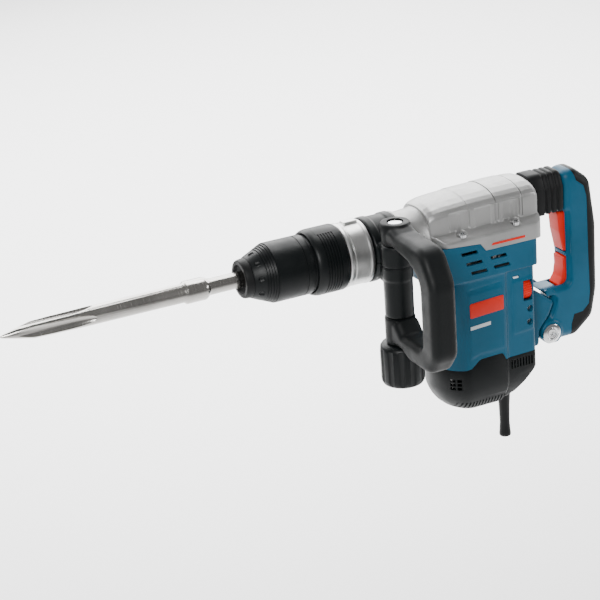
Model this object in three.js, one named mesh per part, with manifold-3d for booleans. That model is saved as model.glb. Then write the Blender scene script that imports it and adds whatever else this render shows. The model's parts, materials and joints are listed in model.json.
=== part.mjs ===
// A demolition hammer as an assembly of separate pieces, in millimetres.
//
// Frame: the origin is on the striking axis, at the rear face of the silver front flange.
// +X runs along the striking axis to the rear handle, so the chisel points to -X. +Z is up,
// and the motor hangs down. The XZ plane is the plane of symmetry of the machine.

import * as THREE from "three";
import { mergeVertices } from "three/addons/utils/BufferGeometryUtils.js";
import Module from "manifold-3d";

const wasm = await Module();
wasm.setup();

// ---------------------------------------------------------------- driving dimensions

const GAP = 0.3; // clearance between pieces that touch
const FINE = 24; // sides of a large round piece
const COARSE = 12; // sides of a small round piece
const BIG = 400; // larger than the machine, for cutting blocks

// chuck, along X
const FLANGE = { front: -32.5, rear: -2, radius: 37 };
const RING = { front: -71, rear: -33, radius: 38, bore: 34.4, web: -48 };
const SLEEVE = { front: -143, shoulder: -118, rear: -60, noseRadius: 23, radius: 34 };
const HOLDER = { front: -142, rear: 13.5, radius: 19.5, bore: 9.4, bolt: 12.5, step: -52 };
const CHISEL = { tip: -427, taper: -395, collar: -218, collarRear: -190, shankEnd: -62.5, radius: 10.4 };
const ROLLER = { front: -110, rear: -96, radius: 3.5, offset: 12.9 };

// percussion mechanism
const CYLINDER = { front: 16, rear: 128, radius: 24, bore: 19.1 };
const PISTON_FRONT = 85;
const PISTON_REAR = 120.5;
const WRIST_X = 110;
const CRANK_X = 165;
const CRANK_THROW = 13;
const GEAR_MODULE = 2;
const GEAR_TEETH = 32;
const PINION_TEETH = 8;
const MOTOR_X = CRANK_X - (GEAR_MODULE * (GEAR_TEETH + PINION_TEETH)) / 2;

// casings
const NECK = { front: -1.5, clamp: 39, rear: 72, clampRadius: 31, flangeRadius: 36.3, radius: 36 };
const CASE = { front: 70, rear: 211.5, width: 46.5, wall: 35.5, ledge: 1.5, ledgeTop: 8.5, crown: 46.5 };
const SHELL = { front: 54, rear: 204, width: 46, wall: 3, bottom: -160 };
const MOTOR = { frontCentre: 112, frontDepth: 32, halfWidth: 45, stepX: 163, rear: 201, rearHalfWidth: 41 };
const CAP_BOTTOM = -217;
const PLATE = { top: -44, bottom: -50 };

// rear handle
const PIVOT = { x: 234.3, z: -153.2, washer: 12.2 };
const HANDLE_HALF_WIDTH = 19.5;
const LUG_HALF_WIDTH = 21.5;
const TONGUE_HALF_WIDTH = 10.5;

// side handle
const BOLT = { x: 17.5, y: -50, radius: 4.5, top: 44, bottom: -140 };
const CLAMP = { front: 0, rear: 38, radius: 37.5, split: -5, post: 17.5, top: 19.7, bottom: -65.7 };
const KNOB = { radius: 25, top: -98.4, bottom: -148 };

// ---------------------------------------------------------------- finishes

const finish = (color, roughness, metalness) => ({ color, roughness, metalness });
const FINISHES = {
  blue: finish(0x1e5f82, 0.45, 0),
  red: finish(0xe1321e, 0.4, 0),
  black: finish(0x1e2324, 0.6, 0),
  rubber: finish(0x17191a, 0.85, 0),
  casting: finish(0xc8c8c6, 0.45, 0.9),
  steel: finish(0xb4b6b8, 0.3, 1),
  chrome: finish(0xd8dadc, 0.12, 1),
  copper: finish(0xb06a3a, 0.4, 1),
  carbon: finish(0x2a2a2c, 0.8, 0),
  board: finish(0x1f5a34, 0.6, 0),
  lamp: finish(0xe8f0f4, 0.25, 0),
};

// ---------------------------------------------------------------- solids

/** A closed geometry as a solid that can be joined and cut. */
function toSolid(geometry) {
  const bare = geometry.clone();
  bare.deleteAttribute("normal");
  bare.deleteAttribute("uv");
  const merged = mergeVertices(bare);
  const corners = merged.index.array;
  const triangles = [];
  for (let i = 0; i < corners.length; i += 3) {
    const [a, b, c] = corners.slice(i, i + 3);
    if (a !== b && b !== c && c !== a) triangles.push(a, b, c);
  }
  const vertProperties = merged.attributes.position.array;
  return new wasm.Manifold(
    new wasm.Mesh({ numProp: 3, vertProperties, triVerts: new Uint32Array(triangles) }),
  );
}

/** A solid's surface as a three.js geometry. */
function toGeometry(solid) {
  const { vertProperties, triVerts } = solid.getMesh();
  const geometry = new THREE.BufferGeometry();
  geometry.setAttribute("position", new THREE.BufferAttribute(vertProperties, 3));
  geometry.setIndex(new THREE.BufferAttribute(triVerts, 1));
  geometry.computeVertexNormals();
  return geometry;
}

const join = (...solids) => solids.reduce((whole, next) => whole.add(next));
const cut = (whole, ...tools) => tools.reduce((rest, tool) => rest.subtract(tool), whole);

/** Turns a shape drawn in the XY plane and swept along Z so that the sweep runs along an axis. */
function turnTo(geometry, axis) {
  if (axis === "x") {
    const basis = new THREE.Matrix4().makeBasis(
      new THREE.Vector3(0, 1, 0),
      new THREE.Vector3(0, 0, 1),
      new THREE.Vector3(1, 0, 0),
    );
    geometry.applyMatrix4(basis);
  }
  if (axis === "y") geometry.rotateX(Math.PI / 2);
  return geometry;
}

/**
 * A prism. The outline is drawn as [y, z] for a sweep along x, [x, z] along y and [x, y] along z.
 * A bevel rounds the two end faces' edges inwards.
 */
function prism(axis, outline, from, to, bevel = 0, bevelSegments = 1) {
  const shape = new THREE.Shape(outline.map(([u, v]) => new THREE.Vector2(u, v)));
  const geometry = new THREE.ExtrudeGeometry(shape, {
    depth: to - from - 2 * bevel,
    bevelEnabled: bevel > 0,
    bevelThickness: bevel,
    bevelSize: bevel,
    bevelOffset: -bevel,
    bevelSegments,
    curveSegments: 1,
  });
  turnTo(geometry, axis);
  if (axis === "x") geometry.translate(from + bevel, 0, 0);
  if (axis === "y") geometry.translate(0, to - bevel, 0);
  if (axis === "z") geometry.translate(0, 0, from + bevel);
  return toSolid(geometry);
}

/** A box between two corners. */
function block(low, high) {
  const size = high.map((value, i) => value - low[i]);
  const geometry = new THREE.BoxGeometry(...size);
  geometry.translate(...low.map((value, i) => value + size[i] / 2));
  return toSolid(geometry);
}

/** A turned solid from a closed profile of [along, radius] points, placed with its axis at centre. */
function turned(axis, profile, centre = [0, 0, 0], sides = FINE) {
  const area = profile.reduce((sum, [a, r], i) => {
    const [nextA, nextR] = profile[(i + 1) % profile.length];
    return sum + r * nextA - nextR * a;
  }, 0);
  const ordered = area > 0 ? [...profile] : [...profile].reverse();
  const onAxis = ordered.findIndex(([, r], i) => r === 0 && ordered.at(i - 1)[1] === 0);
  const points = onAxis < 0
    ? [...ordered, ordered[0]]
    : [...ordered.slice(onAxis), ...ordered.slice(0, onAxis)];
  const geometry = new THREE.LatheGeometry(points.map(([a, r]) => new THREE.Vector2(r, a)), sides);
  if (axis === "x") geometry.rotateZ(-Math.PI / 2);
  if (axis === "z") geometry.rotateX(Math.PI / 2);
  geometry.translate(...centre);
  return toSolid(geometry);
}

const rod = (axis, radius, from, to, centre, sides = COARSE) =>
  turned(axis, [[from, 0], [from, radius], [to, radius], [to, 0]], centre, sides);

const tube = (axis, outer, inner, from, to, centre, sides = COARSE) =>
  turned(axis, [[from, inner], [from, outer], [to, outer], [to, inner]], centre, sides);

/** A solid through equal-length rings of [x, y] points, each at its own height, lowest first. */
function loft(rings) {
  const count = rings[0].outline.length;
  const positions = rings.flatMap(({ outline, z }) => outline.flatMap(([x, y]) => [x, y, z]));
  const index = [];
  for (let ring = 0; ring + 1 < rings.length; ring += 1) {
    for (let i = 0; i < count; i += 1) {
      const a = ring * count + i;
      const b = ring * count + ((i + 1) % count);
      index.push(a, b, b + count, a, b + count, a + count);
    }
  }
  const top = (rings.length - 1) * count;
  const flat = rings[0].outline.map(([x, y]) => new THREE.Vector2(x, y));
  for (const [a, b, c] of THREE.ShapeUtils.triangulateShape(flat, [])) {
    index.push(c, b, a, top + a, top + b, top + c);
  }
  const geometry = new THREE.BufferGeometry();
  geometry.setAttribute("position", new THREE.Float32BufferAttribute(positions, 3));
  geometry.setIndex(index);
  return toSolid(geometry);
}

/** An outline whose corners [u, v, radius] are rounded, with a number of steps in each round. */
function rounded(corners, steps = 3) {
  const points = [];
  corners.forEach(([u, v, radius = 0], i) => {
    const corner = new THREE.Vector2(u, v);
    const before = new THREE.Vector2(...corners.at(i - 1).slice(0, 2));
    const after = new THREE.Vector2(...corners[(i + 1) % corners.length].slice(0, 2));
    if (radius === 0) {
      points.push([u, v]);
      return;
    }
    const toBefore = before.sub(corner).normalize();
    const toAfter = after.sub(corner).normalize();
    const half = Math.acos(toBefore.dot(toAfter)) / 2;
    const reach = radius / Math.tan(half);
    const start = corner.clone().addScaledVector(toBefore, reach);
    const end = corner.clone().addScaledVector(toAfter, reach);
    for (let k = 0; k <= steps; k += 1) {
      const t = k / steps;
      const [p, q, r] = [(1 - t) ** 2, 2 * t * (1 - t), t ** 2];
      points.push([
        p * start.x + q * corner.x + r * end.x,
        p * start.y + q * corner.y + r * end.y,
      ]);
    }
  });
  return points;
}

/** The outline of a gear or a fluted knob: a tooth is given by its root, tip and width shares. */
function toothed(count, rootRadius, tipRadius, rootShare, tipShare, phase = 0) {
  const points = [];
  const step = (2 * Math.PI) / count;
  for (let tooth = 0; tooth < count; tooth += 1) {
    const middle = tooth * step + phase;
    for (const [radius, offset] of [
      [rootRadius, -rootShare / 2],
      [tipRadius, -tipShare / 2],
      [tipRadius, tipShare / 2],
      [rootRadius, rootShare / 2],
    ]) {
      const angle = middle + offset * step;
      points.push([radius * Math.cos(angle), radius * Math.sin(angle)]);
    }
  }
  return points;
}

/** A coil spring round the X axis. */
function coil(radius, wire, from, to, turns) {
  const path = new (class extends THREE.Curve {
    getPoint(t, target = new THREE.Vector3()) {
      const angle = 2 * Math.PI * turns * t;
      return target.set(from + (to - from) * t, radius * Math.cos(angle), radius * Math.sin(angle));
    }
  })();
  const sides = 5;
  const section = new THREE.Shape(
    Array.from({ length: sides }, (_, k) => {
      const angle = (2 * Math.PI * k) / sides;
      return new THREE.Vector2(wire * Math.cos(angle), wire * Math.sin(angle));
    }),
  );
  const stepsPerTurn = 9;
  return toSolid(new THREE.ExtrudeGeometry(section, { steps: turns * stepsPerTurn, extrudePath: path }));
}

/** Adds a named mesh to a group. A piece drawn about its own centre is given its place. */
function add(group, name, solid, look, place = [0, 0, 0]) {
  const mesh = new THREE.Mesh(toGeometry(solid), new THREE.MeshStandardMaterial(look));
  mesh.name = name;
  mesh.position.set(...place);
  group.add(mesh);
}

const mirroredY = (solid) => solid.mirror([0, 1, 0]);

// ---------------------------------------------------------------- chuck

function makeChisel(group) {
  const groove = (side) => block(
    [ROLLER.front - 0.5, side * 8 - 2, -3.9],
    [ROLLER.rear + 13, side * 8 + 2 + side * 2, 3.9],
  );
  const body = turned("x", [
    [CHISEL.tip, 0], [CHISEL.tip, 1.2], [CHISEL.taper, 7.6], [-380, 10],
    [-230, CHISEL.radius], [CHISEL.collar, 11], [-214, 12.8], [-194, 12.8],
    [CHISEL.collarRear, 9], [CHISEL.shankEnd - 2, 9], [CHISEL.shankEnd, 7.5], [CHISEL.shankEnd, 0],
  ], [0, 0, 0], 24);
  add(group, "chisel", cut(body, groove(1), groove(-1)), FINISHES.steel);
}

function makeToolHolder(group) {
  const body = turned("x", [
    [HOLDER.front, HOLDER.bore], [HOLDER.front, HOLDER.radius], [HOLDER.rear, HOLDER.radius],
    [HOLDER.rear, HOLDER.bolt], [HOLDER.step, HOLDER.bolt], [HOLDER.step, HOLDER.bore],
  ]);
  const slot = (side) => block(
    [ROLLER.front - 0.4, Math.min(side * 7, side * 24), -ROLLER.radius - GAP],
    [ROLLER.rear + 0.4, Math.max(side * 7, side * 24), ROLLER.radius + GAP],
  );
  add(group, "tool_holder", cut(body, slot(1), slot(-1)), FINISHES.steel);
  for (const [name, side] of [["locking_roller_left", 1], ["locking_roller_right", -1]]) {
    const length = ROLLER.rear - ROLLER.front;
    const roller = turned("x", [
      [0, 0], [0, 1.8], [1.7, ROLLER.radius], [length - 1.7, ROLLER.radius], [length, 1.8], [length, 0],
    ], [0, 0, 0], 10);
    add(group, name, roller, FINISHES.steel, [ROLLER.front, side * ROLLER.offset, 0]);
  }
}

function makeSleeve(group) {
  const body = turned("x", [
    [SLEEVE.front, 21], [SLEEVE.front, SLEEVE.noseRadius], [-138, 26.5],
    [SLEEVE.shoulder, SLEEVE.radius], [-74, SLEEVE.radius], [-73.5, 33], [SLEEVE.rear, 33],
    [SLEEVE.rear, 27], [-130, 27], [-137, 21],
  ]);
  add(group, "locking_sleeve", body, FINISHES.black);
  const cap = turned("x", [
    [-152, 16.5], [-152, 20.6], [-150.5, 21.6], [SLEEVE.front - GAP, 22.4],
    [SLEEVE.front - GAP, 10], [-145, 9.7], [-146.5, 10.5],
  ]);
  add(group, "dust_cap", cap, FINISHES.rubber);
  add(group, "lock_spring", coil(23, 1.4, -104, -51, 5), FINISHES.steel);
}

function makeRings(group) {
  const ribs = [];
  for (let x = RING.front + 12; x < RING.rear - 6; x += 9) {
    ribs.push([x, RING.radius], [x + 1.5, RING.radius - 0.9], [x + 3, RING.radius]);
  }
  const ring = turned("x", [
    [RING.front, RING.bore], [RING.front, 35.4], [-69, 36.8], [-64, RING.radius], ...ribs,
    [RING.rear - 1.5, RING.radius], [RING.rear, 36.8], [RING.rear, HOLDER.radius + GAP],
    [RING.web, HOLDER.radius + GAP], [RING.web, RING.bore],
  ]);
  add(group, "angle_ring", ring, FINISHES.black);

  const flange = turned("x", [
    [FLANGE.front, 24.6], [FLANGE.front, 35.6], [-31, FLANGE.radius], [-26.5, FLANGE.radius],
    [-25.5, 36.2], [-7, 36.2], [-5.5, FLANGE.radius], [-3, FLANGE.radius], [FLANGE.rear, 36.2],
    [FLANGE.rear, 20.6], [-20, 20.6], [-20, 24.6],
  ]);
  const lug = prism("x", rounded([[-6.5, 33], [6.5, 33], [5, 39.4, 1.5], [-5, 39.4, 1.5]], 2), -23, -7);
  add(group, "front_flange", join(flange, lug), FINISHES.casting);
  const seal = tube("x", 24.3, HOLDER.radius + 0.25, FLANGE.front + 0.5, -20.5, [0, 0, 0], FINE);
  add(group, "holder_seal", seal, FINISHES.rubber);
}

// ---------------------------------------------------------------- percussion mechanism

function makeHammerTrain(group) {
  const bolt = turned("x", [
    [-61.8, 0], [-61.8, 7.6], [-60.5, 8.8], [HOLDER.step, 8.8], [-50, 12.1], [-6, 12.1],
    [-4, 8.5], [12, 8.5], [12, 0],
  ], [0, 0, 0], 24);
  add(group, "impact_bolt", bolt, FINISHES.steel);
  add(group, "front_bearing", tube("x", 24, HOLDER.radius + 0.2, 0, 13, [0, 0, 0], FINE), FINISHES.steel);
  add(group, "striker", rod("x", 18.7, 20, 55, [0, 0, 0], 24), FINISHES.steel);
  const cylinder = tube("x", CYLINDER.radius, CYLINDER.bore, CYLINDER.front, CYLINDER.rear, [0, 0, 0], FINE);
  add(group, "cylinder", cylinder, FINISHES.steel);

  const skirt = turned("x", [
    [PISTON_FRONT, 0], [PISTON_FRONT, 18.7], [PISTON_REAR, 18.7], [PISTON_REAR, 14.5],
    [98, 14.5], [98, 0],
  ], [0, 0, 0], 24);
  const pinHole = rod("z", 3.9, -30, 30, [WRIST_X, 0, 0]);
  add(group, "piston", cut(skirt, pinHole), FINISHES.casting);
  add(group, "wrist_pin", rod("z", 3.6, -18, 18, [WRIST_X, 0, 0]), FINISHES.steel);

  const eyeX = CRANK_X - CRANK_THROW;
  const beam = join(
    rod("z", 8, -5, 5, [WRIST_X, 0, 0]),
    rod("z", 9, -5, 5, [eyeX, 0, 0]),
    block([WRIST_X, -5, -5], [eyeX, 5, 5]),
  );
  const eyes = join(rod("z", 3.9, -9, 9, [WRIST_X, 0, 0]), rod("z", 5.3, -9, 9, [eyeX, 0, 0]));
  add(group, "connecting_rod", cut(beam, eyes), FINISHES.steel);
}

function makeCrank(group) {
  const crank = join(
    rod("z", 6.5, PLATE.bottom, -15, [0, 0, 0]),
    rod("z", 15.2, -16, -9, [0, 0, 0], 24),
    block([-CRANK_THROW, -5, -16], [0, 5, -9]),
    rod("z", 5, -16, -5 - GAP, [-CRANK_THROW, 0, 0]),
  );
  add(group, "crankshaft", crank, FINISHES.steel, [CRANK_X, 0, 0]);
  const pitch = (GEAR_MODULE * GEAR_TEETH) / 2;
  const outline = toothed(GEAR_TEETH, pitch - 1.25 * GEAR_MODULE, pitch + 0.85 * GEAR_MODULE, 0.66, 0.22);
  const gear = cut(prism("z", outline, -38, -28), rod("z", 6.8, -50, -20, [0, 0, 0]));
  add(group, "crank_gear", gear, FINISHES.steel, [CRANK_X, 0, 0]);
  for (const [name, bottom, top] of [
    ["crank_bearing_upper", -26.5, -17],
    ["crank_bearing_lower", PLATE.bottom, PLATE.top - 0.5],
  ]) {
    add(group, name, tube("z", 13, 6.8, bottom, top, [0, 0, 0]), FINISHES.steel, [CRANK_X, 0, 0]);
  }
}

// ---------------------------------------------------------------- motor

function makeArmature(group) {
  const place = [MOTOR_X, 0, 0];
  const pitch = (GEAR_MODULE * PINION_TEETH) / 2;
  const toothPhase = Math.PI / PINION_TEETH;
  const pinion = toothed(
    PINION_TEETH, pitch - 1.2 * GEAR_MODULE, pitch + 0.75 * GEAR_MODULE, 0.66, 0.2, toothPhase,
  );
  const shaft = join(prism("z", pinion, -40, -28.6), rod("z", 5, -205, -38, [0, 0, 0], 12));
  add(group, "armature_shaft", shaft, FINISHES.steel, place);
  const slots = toothed(12, 20.5, 23.5, 0.8, 0.72);
  const core = cut(prism("z", slots, -128, -78), rod("z", 5.3, -140, -70, [0, 0, 0], 12));
  add(group, "armature_core", core, FINISHES.copper, place);
  add(group, "commutator", tube("z", 12, 5.3, -158, -140, [0, 0, 0], 24), FINISHES.copper, place);

  const bladeCount = 9;
  const blades = Array.from({ length: bladeCount }, (_, k) =>
    block([6.5, -0.8, -66], [28.5, 0.8, -57]).rotate([0, 0, (360 * k) / bladeCount]));
  const disc = rod("z", 29, -68, -65.5, [0, 0, 0], 24);
  const wheel = join(disc, rod("z", 8, -68, -55, [0, 0, 0], 12), ...blades);
  add(group, "fan", cut(wheel, rod("z", 5.3, -80, -50, [0, 0, 0], 12)), FINISHES.black, place);
}

function makeStator(group) {
  const place = [MOTOR_X, 0, 0];
  add(group, "stator", tube("z", 37.5, 24.4, -130, -76, [0, 0, 0], FINE), FINISHES.steel, place);
  const upperBearing = tube("z", 12, 5.3, PLATE.bottom, PLATE.top, [0, 0, 0]);
  const lowerBearing = tube("z", 11, 5.3, -179, -170, [0, 0, 0]);
  add(group, "motor_bearing_upper", upperBearing, FINISHES.steel, place);
  add(group, "motor_bearing_lower", lowerBearing, FINISHES.steel, place);
  for (const [name, side] of [["carbon_brush_left", 1], ["carbon_brush_right", -1]]) {
    add(group, name, block([-4, -6, -4.5], [4, 6, 4.5]), FINISHES.carbon, [MOTOR_X, side * 18.5, -149]);
  }
  const outline = rounded([[100, -33, 6], [192, -33, 6], [192, 33, 6], [100, 33, 6]], 2);
  const carrier = cut(
    prism("z", outline, PLATE.bottom, PLATE.top),
    rod("z", 12.3, -60, -40, [MOTOR_X, 0, 0]),
    rod("z", 13.3, -60, -40, [CRANK_X, 0, 0]),
  );
  add(group, "bearing_plate", carrier, FINISHES.casting);
  add(group, "circuit_board", block([-1, -27, -34], [1, 27, 34]), FINISHES.board, [177, 0, -108]);
}

// ---------------------------------------------------------------- casings

/** The plan outline of the motor part: a round front, flat sides and a narrower rear. */
function motorSection(inset) {
  const steps = 8;
  const points = [];
  for (let k = 0; k <= steps; k += 1) {
    const angle = Math.PI / 2 + (Math.PI * k) / steps;
    points.push([
      MOTOR.frontCentre + (MOTOR.frontDepth - inset) * Math.cos(angle),
      (MOTOR.halfWidth - inset) * Math.sin(angle),
    ]);
  }
  const side = [
    [MOTOR.stepX - 4, MOTOR.halfWidth - inset],
    [MOTOR.stepX, MOTOR.rearHalfWidth - inset],
    [MOTOR.rear - 4 - inset / 2, MOTOR.rearHalfWidth - inset],
    [MOTOR.rear - inset, MOTOR.rearHalfWidth - 4 - inset / 2],
  ];
  points.push(...side.map(([x, y]) => [x, -y]), ...side.reverse());
  return points;
}

/** The plan outline of the upper part of the blue casing. */
const upperPlan = (inset) => rounded([
  [SHELL.front + inset, -34 + inset, 16],
  [SHELL.front + 26 + inset, -SHELL.width + inset, 12],
  [SHELL.rear - inset, -SHELL.width + inset, 7],
  [SHELL.rear - inset, SHELL.width - inset, 7],
  [SHELL.front + 26 + inset, SHELL.width - inset, 12],
  [SHELL.front + inset, 34 - inset, 16],
], 4);

// The parting line between the gear casing and the blue casing, from front to rear, as [x, z].
const PARTING = [[40, -4], [86, -4], [127, -7.5], [134, -17], [260, -17.6]];

/** The side outline of the upper part of the blue casing, under the parting line. */
function upperSide(inset) {
  const top = PARTING.map(([x, z]) => [x, z - GAP + (inset > 0 ? BIG : 0)]);
  return [
    ...top.reverse(),
    [40, -36], [SHELL.front + 4, -43 + inset], [SHELL.front + 14, -48 + inset],
    [MOTOR.frontCentre - MOTOR.frontDepth + 8, -58 + inset], [MOTOR.frontCentre, -64 + inset],
    [260, -64 + inset],
  ];
}

/** Cooling slots with slanted ends in the side of the blue casing, as [front end x, middle z]. */
const VENTS = [[101, -16], [107, -29], [113, -41], [139, -28], [143, -40]];

function makeVents() {
  const [length, height, slant] = [21, 4.4, 2];
  const slots = VENTS.map(([x, z]) => prism("y", [
    [x + slant, z - height / 2], [x + slant + length, z - height / 2], [x + length, z + height / 2],
    [x, z + height / 2],
  ], -60, -40));
  const near = join(...slots);
  return join(near, mirroredY(near));
}

/** The rear bracket that carries the pivot of the rear handle. */
function makeBracket() {
  const plate = prism("y", rounded([
    [196, -94], [215, -94, 5], [239.5, -114, 5], [232, -130, 6], [218.5, -146, 8], [217.5, -165.5, 4],
    [203, -165.5, 3], [202, -158], [196, -158],
  ], 3), -LUG_HALF_WIDTH + 1, LUG_HALF_WIDTH - 1);
  const tongue = join(
    rod("y", 13, -TONGUE_HALF_WIDTH, TONGUE_HALF_WIDTH, [PIVOT.x, 0, PIVOT.z], 20),
    block([210, -TONGUE_HALF_WIDTH, -160], [PIVOT.x, TONGUE_HALF_WIDTH, -145]),
  );
  return join(plate, tongue);
}

function makeMotorHousing(group) {
  const outer = join(
    prism("y", upperSide(0), -60, 60).intersect(prism("z", upperPlan(0), -80, 20)),
    prism("z", motorSection(0), SHELL.bottom, -50),
    makeBracket(),
  );
  const inner = join(
    prism("y", upperSide(SHELL.wall), -60, 60).intersect(prism("z", upperPlan(SHELL.wall), -80, 40)),
    prism("z", motorSection(SHELL.wall), SHELL.bottom - 5, -45),
  );
  const screwBosses = SIDE_SCREWS.map(([x, z]) => rod("y", 6.5, -39.5, -27, [x, 0, z]));
  const screwHoles = SIDE_SCREWS.map(([x, z]) => join(
    rod("y", 4, -45, -34, [x, 0, z]),
    rod("y", 2.3, -40, -20, [x, 0, z], 10),
  ));
  const body = cut(
    join(cut(outer, inner), ...screwBosses),
    ...screwHoles,
    makeVents(),
    rod("x", NECK.radius + 2 * GAP, 20, NECK.rear + 1, [0, 0, 0], FINE),
    block([184.3, -50, -93], [196.3, -30, -68]),
    block([184.3, -37.5, -95.5], [196.3, -14, -65.5]),
    block([171, -50, -62.5], [179, -36, -59.5]),
    rod("y", 5.3, -30, 30, [PIVOT.x, 0, PIVOT.z]),
  );
  add(group, "motor_housing", body, FINISHES.blue);
}

// Recessed screws on the right side of the blue casing, as [x, z].
const SIDE_SCREWS = [[193, -104], [192.3, -120.5]];

function makeHousingTrim(group) {
  SIDE_SCREWS.forEach(([x, z], i) => {
    const screw = join(rod("y", 3.6, -37.5, -34.3, [0, 0, 0]), rod("y", 2, -35, -24, [0, 0, 0], 10));
    add(group, `side_screw_${i + 1}`, screw, FINISHES.steel, [x, 0, z]);
  });
  add(group, "status_lamp", block([-3.6, -2, -1.2], [3.6, 2.6, 1.2]), FINISHES.lamp, [175, -39.6, -61]);
  const wheel = toothed(24, 13.4, 14.2, 0.7, 0.4);
  const dial = join(prism("x", wheel, -5.4, 5.4), rod("x", 2.4, -8, 6.6, [0, 0, 0], 10));
  add(group, "speed_dial", dial, FINISHES.red, [190.3, -28.5, -80.5]);
}

/** The motor section drawn in towards the motor axis, for the rounded bottom of the cap. */
const shrunk = (outline, share) => outline.map(([x, y]) => [140 + (x - 140) * share, y * share]);

// The underside of the cap, rising to the rear, as [x, z].
const CAP_UNDERSIDE = [
  [240, -140], [202, -176], [183, -195.5], [172, -205], [160, -211.5], [146, -218], [40, -218],
];

function capShape(inset) {
  const section = motorSection(inset);
  const rows = [
    [CAP_BOTTOM + inset, 0.62], [CAP_BOTTOM + 2.5 + inset, 0.72], [-208 + inset, 0.86], [-197, 0.96],
    [-187, 1], [SHELL.bottom - GAP + inset, 1],
  ];
  const side = [[40, -120], [240, -120], ...CAP_UNDERSIDE.map(([x, z]) => [x, z + 1.3 * inset])];
  return loft(rows.map(([z, share]) => ({ z, outline: shrunk(section, share) })))
    .intersect(prism("y", side, -60, 60));
}

const CABLE_X = 178;

function makeCap(group) {
  const slits = [];
  for (let x = 166; x < 195; x += 7) slits.push(block([x, -60, -174], [x + 3, 60, -164]));
  for (let x = 92; x < 110; x += 7) slits.push(block([x, -60, -180], [x + 3.5, 60, -171]));
  const seat = cut(
    rod("z", 15, CAP_BOTTOM + 1, -170, [MOTOR_X, 0, 0]),
    rod("z", 11.3, -180, -160, [MOTOR_X, 0, 0]),
    rod("z", 6, -210, -160, [MOTOR_X, 0, 0]),
  );
  const cableHole = rod("z", 9.3, -230, -180, [CABLE_X, 0, 0]);
  const body = cut(capShape(0), capShape(SHELL.wall), ...slits);
  add(group, "motor_cap", cut(join(body, seat), cableHole), FINISHES.black);

  const collar = rod("z", 12, -208, -184, [CABLE_X, 0, 0]).intersect(capShape(SHELL.wall + GAP));
  const sleeve = turned("z", [
    [-280, 0], [-280, 7.1], [-277, 7.1], [-262, 6.7], [-222, 8.7], [-186, 8.9], [-186, 0],
  ], [CABLE_X, 0, 0]);
  const bore = rod("z", 4.2, -290, -190, [CABLE_X, 0, 0]);
  add(group, "cable_sleeve", cut(join(sleeve, collar), bore), FINISHES.rubber);
}

function makeGearHousing(group) {
  const side = prism("y", [
    ...PARTING.slice(1, 4).map(([x, z]) => [x, z]),
    [CASE.rear, -17.5], [CASE.rear, 38], [206, 44.5], [190, CASE.crown], [155, CASE.crown], [125, 45],
    [100, 43.8], [82, 42], [75, 39.5], [CASE.front, 36.5], [CASE.front, -4],
  ], -60, 60);
  const half = [
    [CASE.width, -30], [CASE.width, CASE.ledge], [CASE.wall, CASE.ledgeTop], [CASE.wall, 34],
    [31, 39], [18, 44.5],
  ];
  const section = prism("x", [...half, [0, 46.8], ...half.map(([y, z]) => [-y, z]).reverse()], 60, 220);
  const neck = turned("x", [
    [NECK.front, 24.3], [NECK.front, NECK.clampRadius], [NECK.clamp, NECK.clampRadius],
    [NECK.clamp, NECK.flangeRadius], [NECK.clamp + 3, NECK.flangeRadius], [NECK.clamp + 3, 34.5],
    [NECK.rear - 2, NECK.radius], [NECK.rear, NECK.radius], [NECK.rear, 28], [130, 28], [130, 24.3],
  ], [0, 0, 0]);
  const bossPockets = CASE_SCREWS.flatMap(([x]) => [1, -1].map((s) =>
    rod("z", 6.5, SCREW_SEAT, 60, [x, s * 40.5, 0], 12)));
  const bossHoles = CASE_SCREWS.flatMap(([x]) => [1, -1].map((s) =>
    rod("z", 2.9, -40, 20, [x, s * 40.5, 0], 8)));
  const plan = prism("z", rounded([
    [CASE.front, -30, 14], [CASE.front + 14, -CASE.width, 12], [CASE.rear, -CASE.width, 12],
    [CASE.rear, CASE.width, 12], [CASE.front + 14, CASE.width, 12], [CASE.front, 30, 14],
  ], 3), -40, 60);
  const body = cut(
    join(side.intersect(section).intersect(plan), neck),
    rod("x", 24.3, -10, 140, [0, 0, 0], FINE),
    block([131, -31, -60], [202, 31, 36]),
    ...bossPockets,
    ...bossHoles,
  );
  add(group, "gear_housing", body, FINISHES.casting);
}

// Screws that hold the gear casing on the blue casing, as [x, length], and the height of their seats.
const CASE_SCREWS = [[107.5, 20], [177.5, 32]];
const SCREW_SEAT = 3.2;

function makeCaseScrews(group) {
  let number = 1;
  for (const [x, length] of CASE_SCREWS) {
    for (const side of [1, -1]) {
      const screw = join(
        rod("z", 4.6, 0, 4, [0, 0, 0]),
        rod("z", 2.5, -length, 1, [0, 0, 0], 8),
      );
      add(group, `case_screw_${number}`, screw, FINISHES.steel, [x, side * 40.5, SCREW_SEAT + GAP]);
      number += 1;
    }
  }
}

// ---------------------------------------------------------------- rear handle

const HANDLE_OUTER = rounded([
  [256.5, 43.5], [276, 43, 8], [296, 27, 20], [303.5, -30, 30], [303.5, -112, 26], [297, -146, 18],
  [272, -166.5, 14], [230, -166.5, 8], [220.5, -158, 6], [221.5, -145, 6], [235.5, -129.5, 6],
  [242, -112.2, 5], [226, -99.5, 1.5], [225, -97.5, 1], [262, -97.5, 8], [261.5, -60], [260.5, -8, 3],
  [256.5, -5, 2],
], 4);

// The edge between the blue shells and the rubber back, from top to bottom, as [x, z].
const RUBBER_EDGE = [
  [264, 60], [274, 30], [284, 22], [288, 8], [289, -60], [290.5, -112], [289, -128], [280, -136],
  [268, -137], [264, -149], [263, -190],
];

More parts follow.
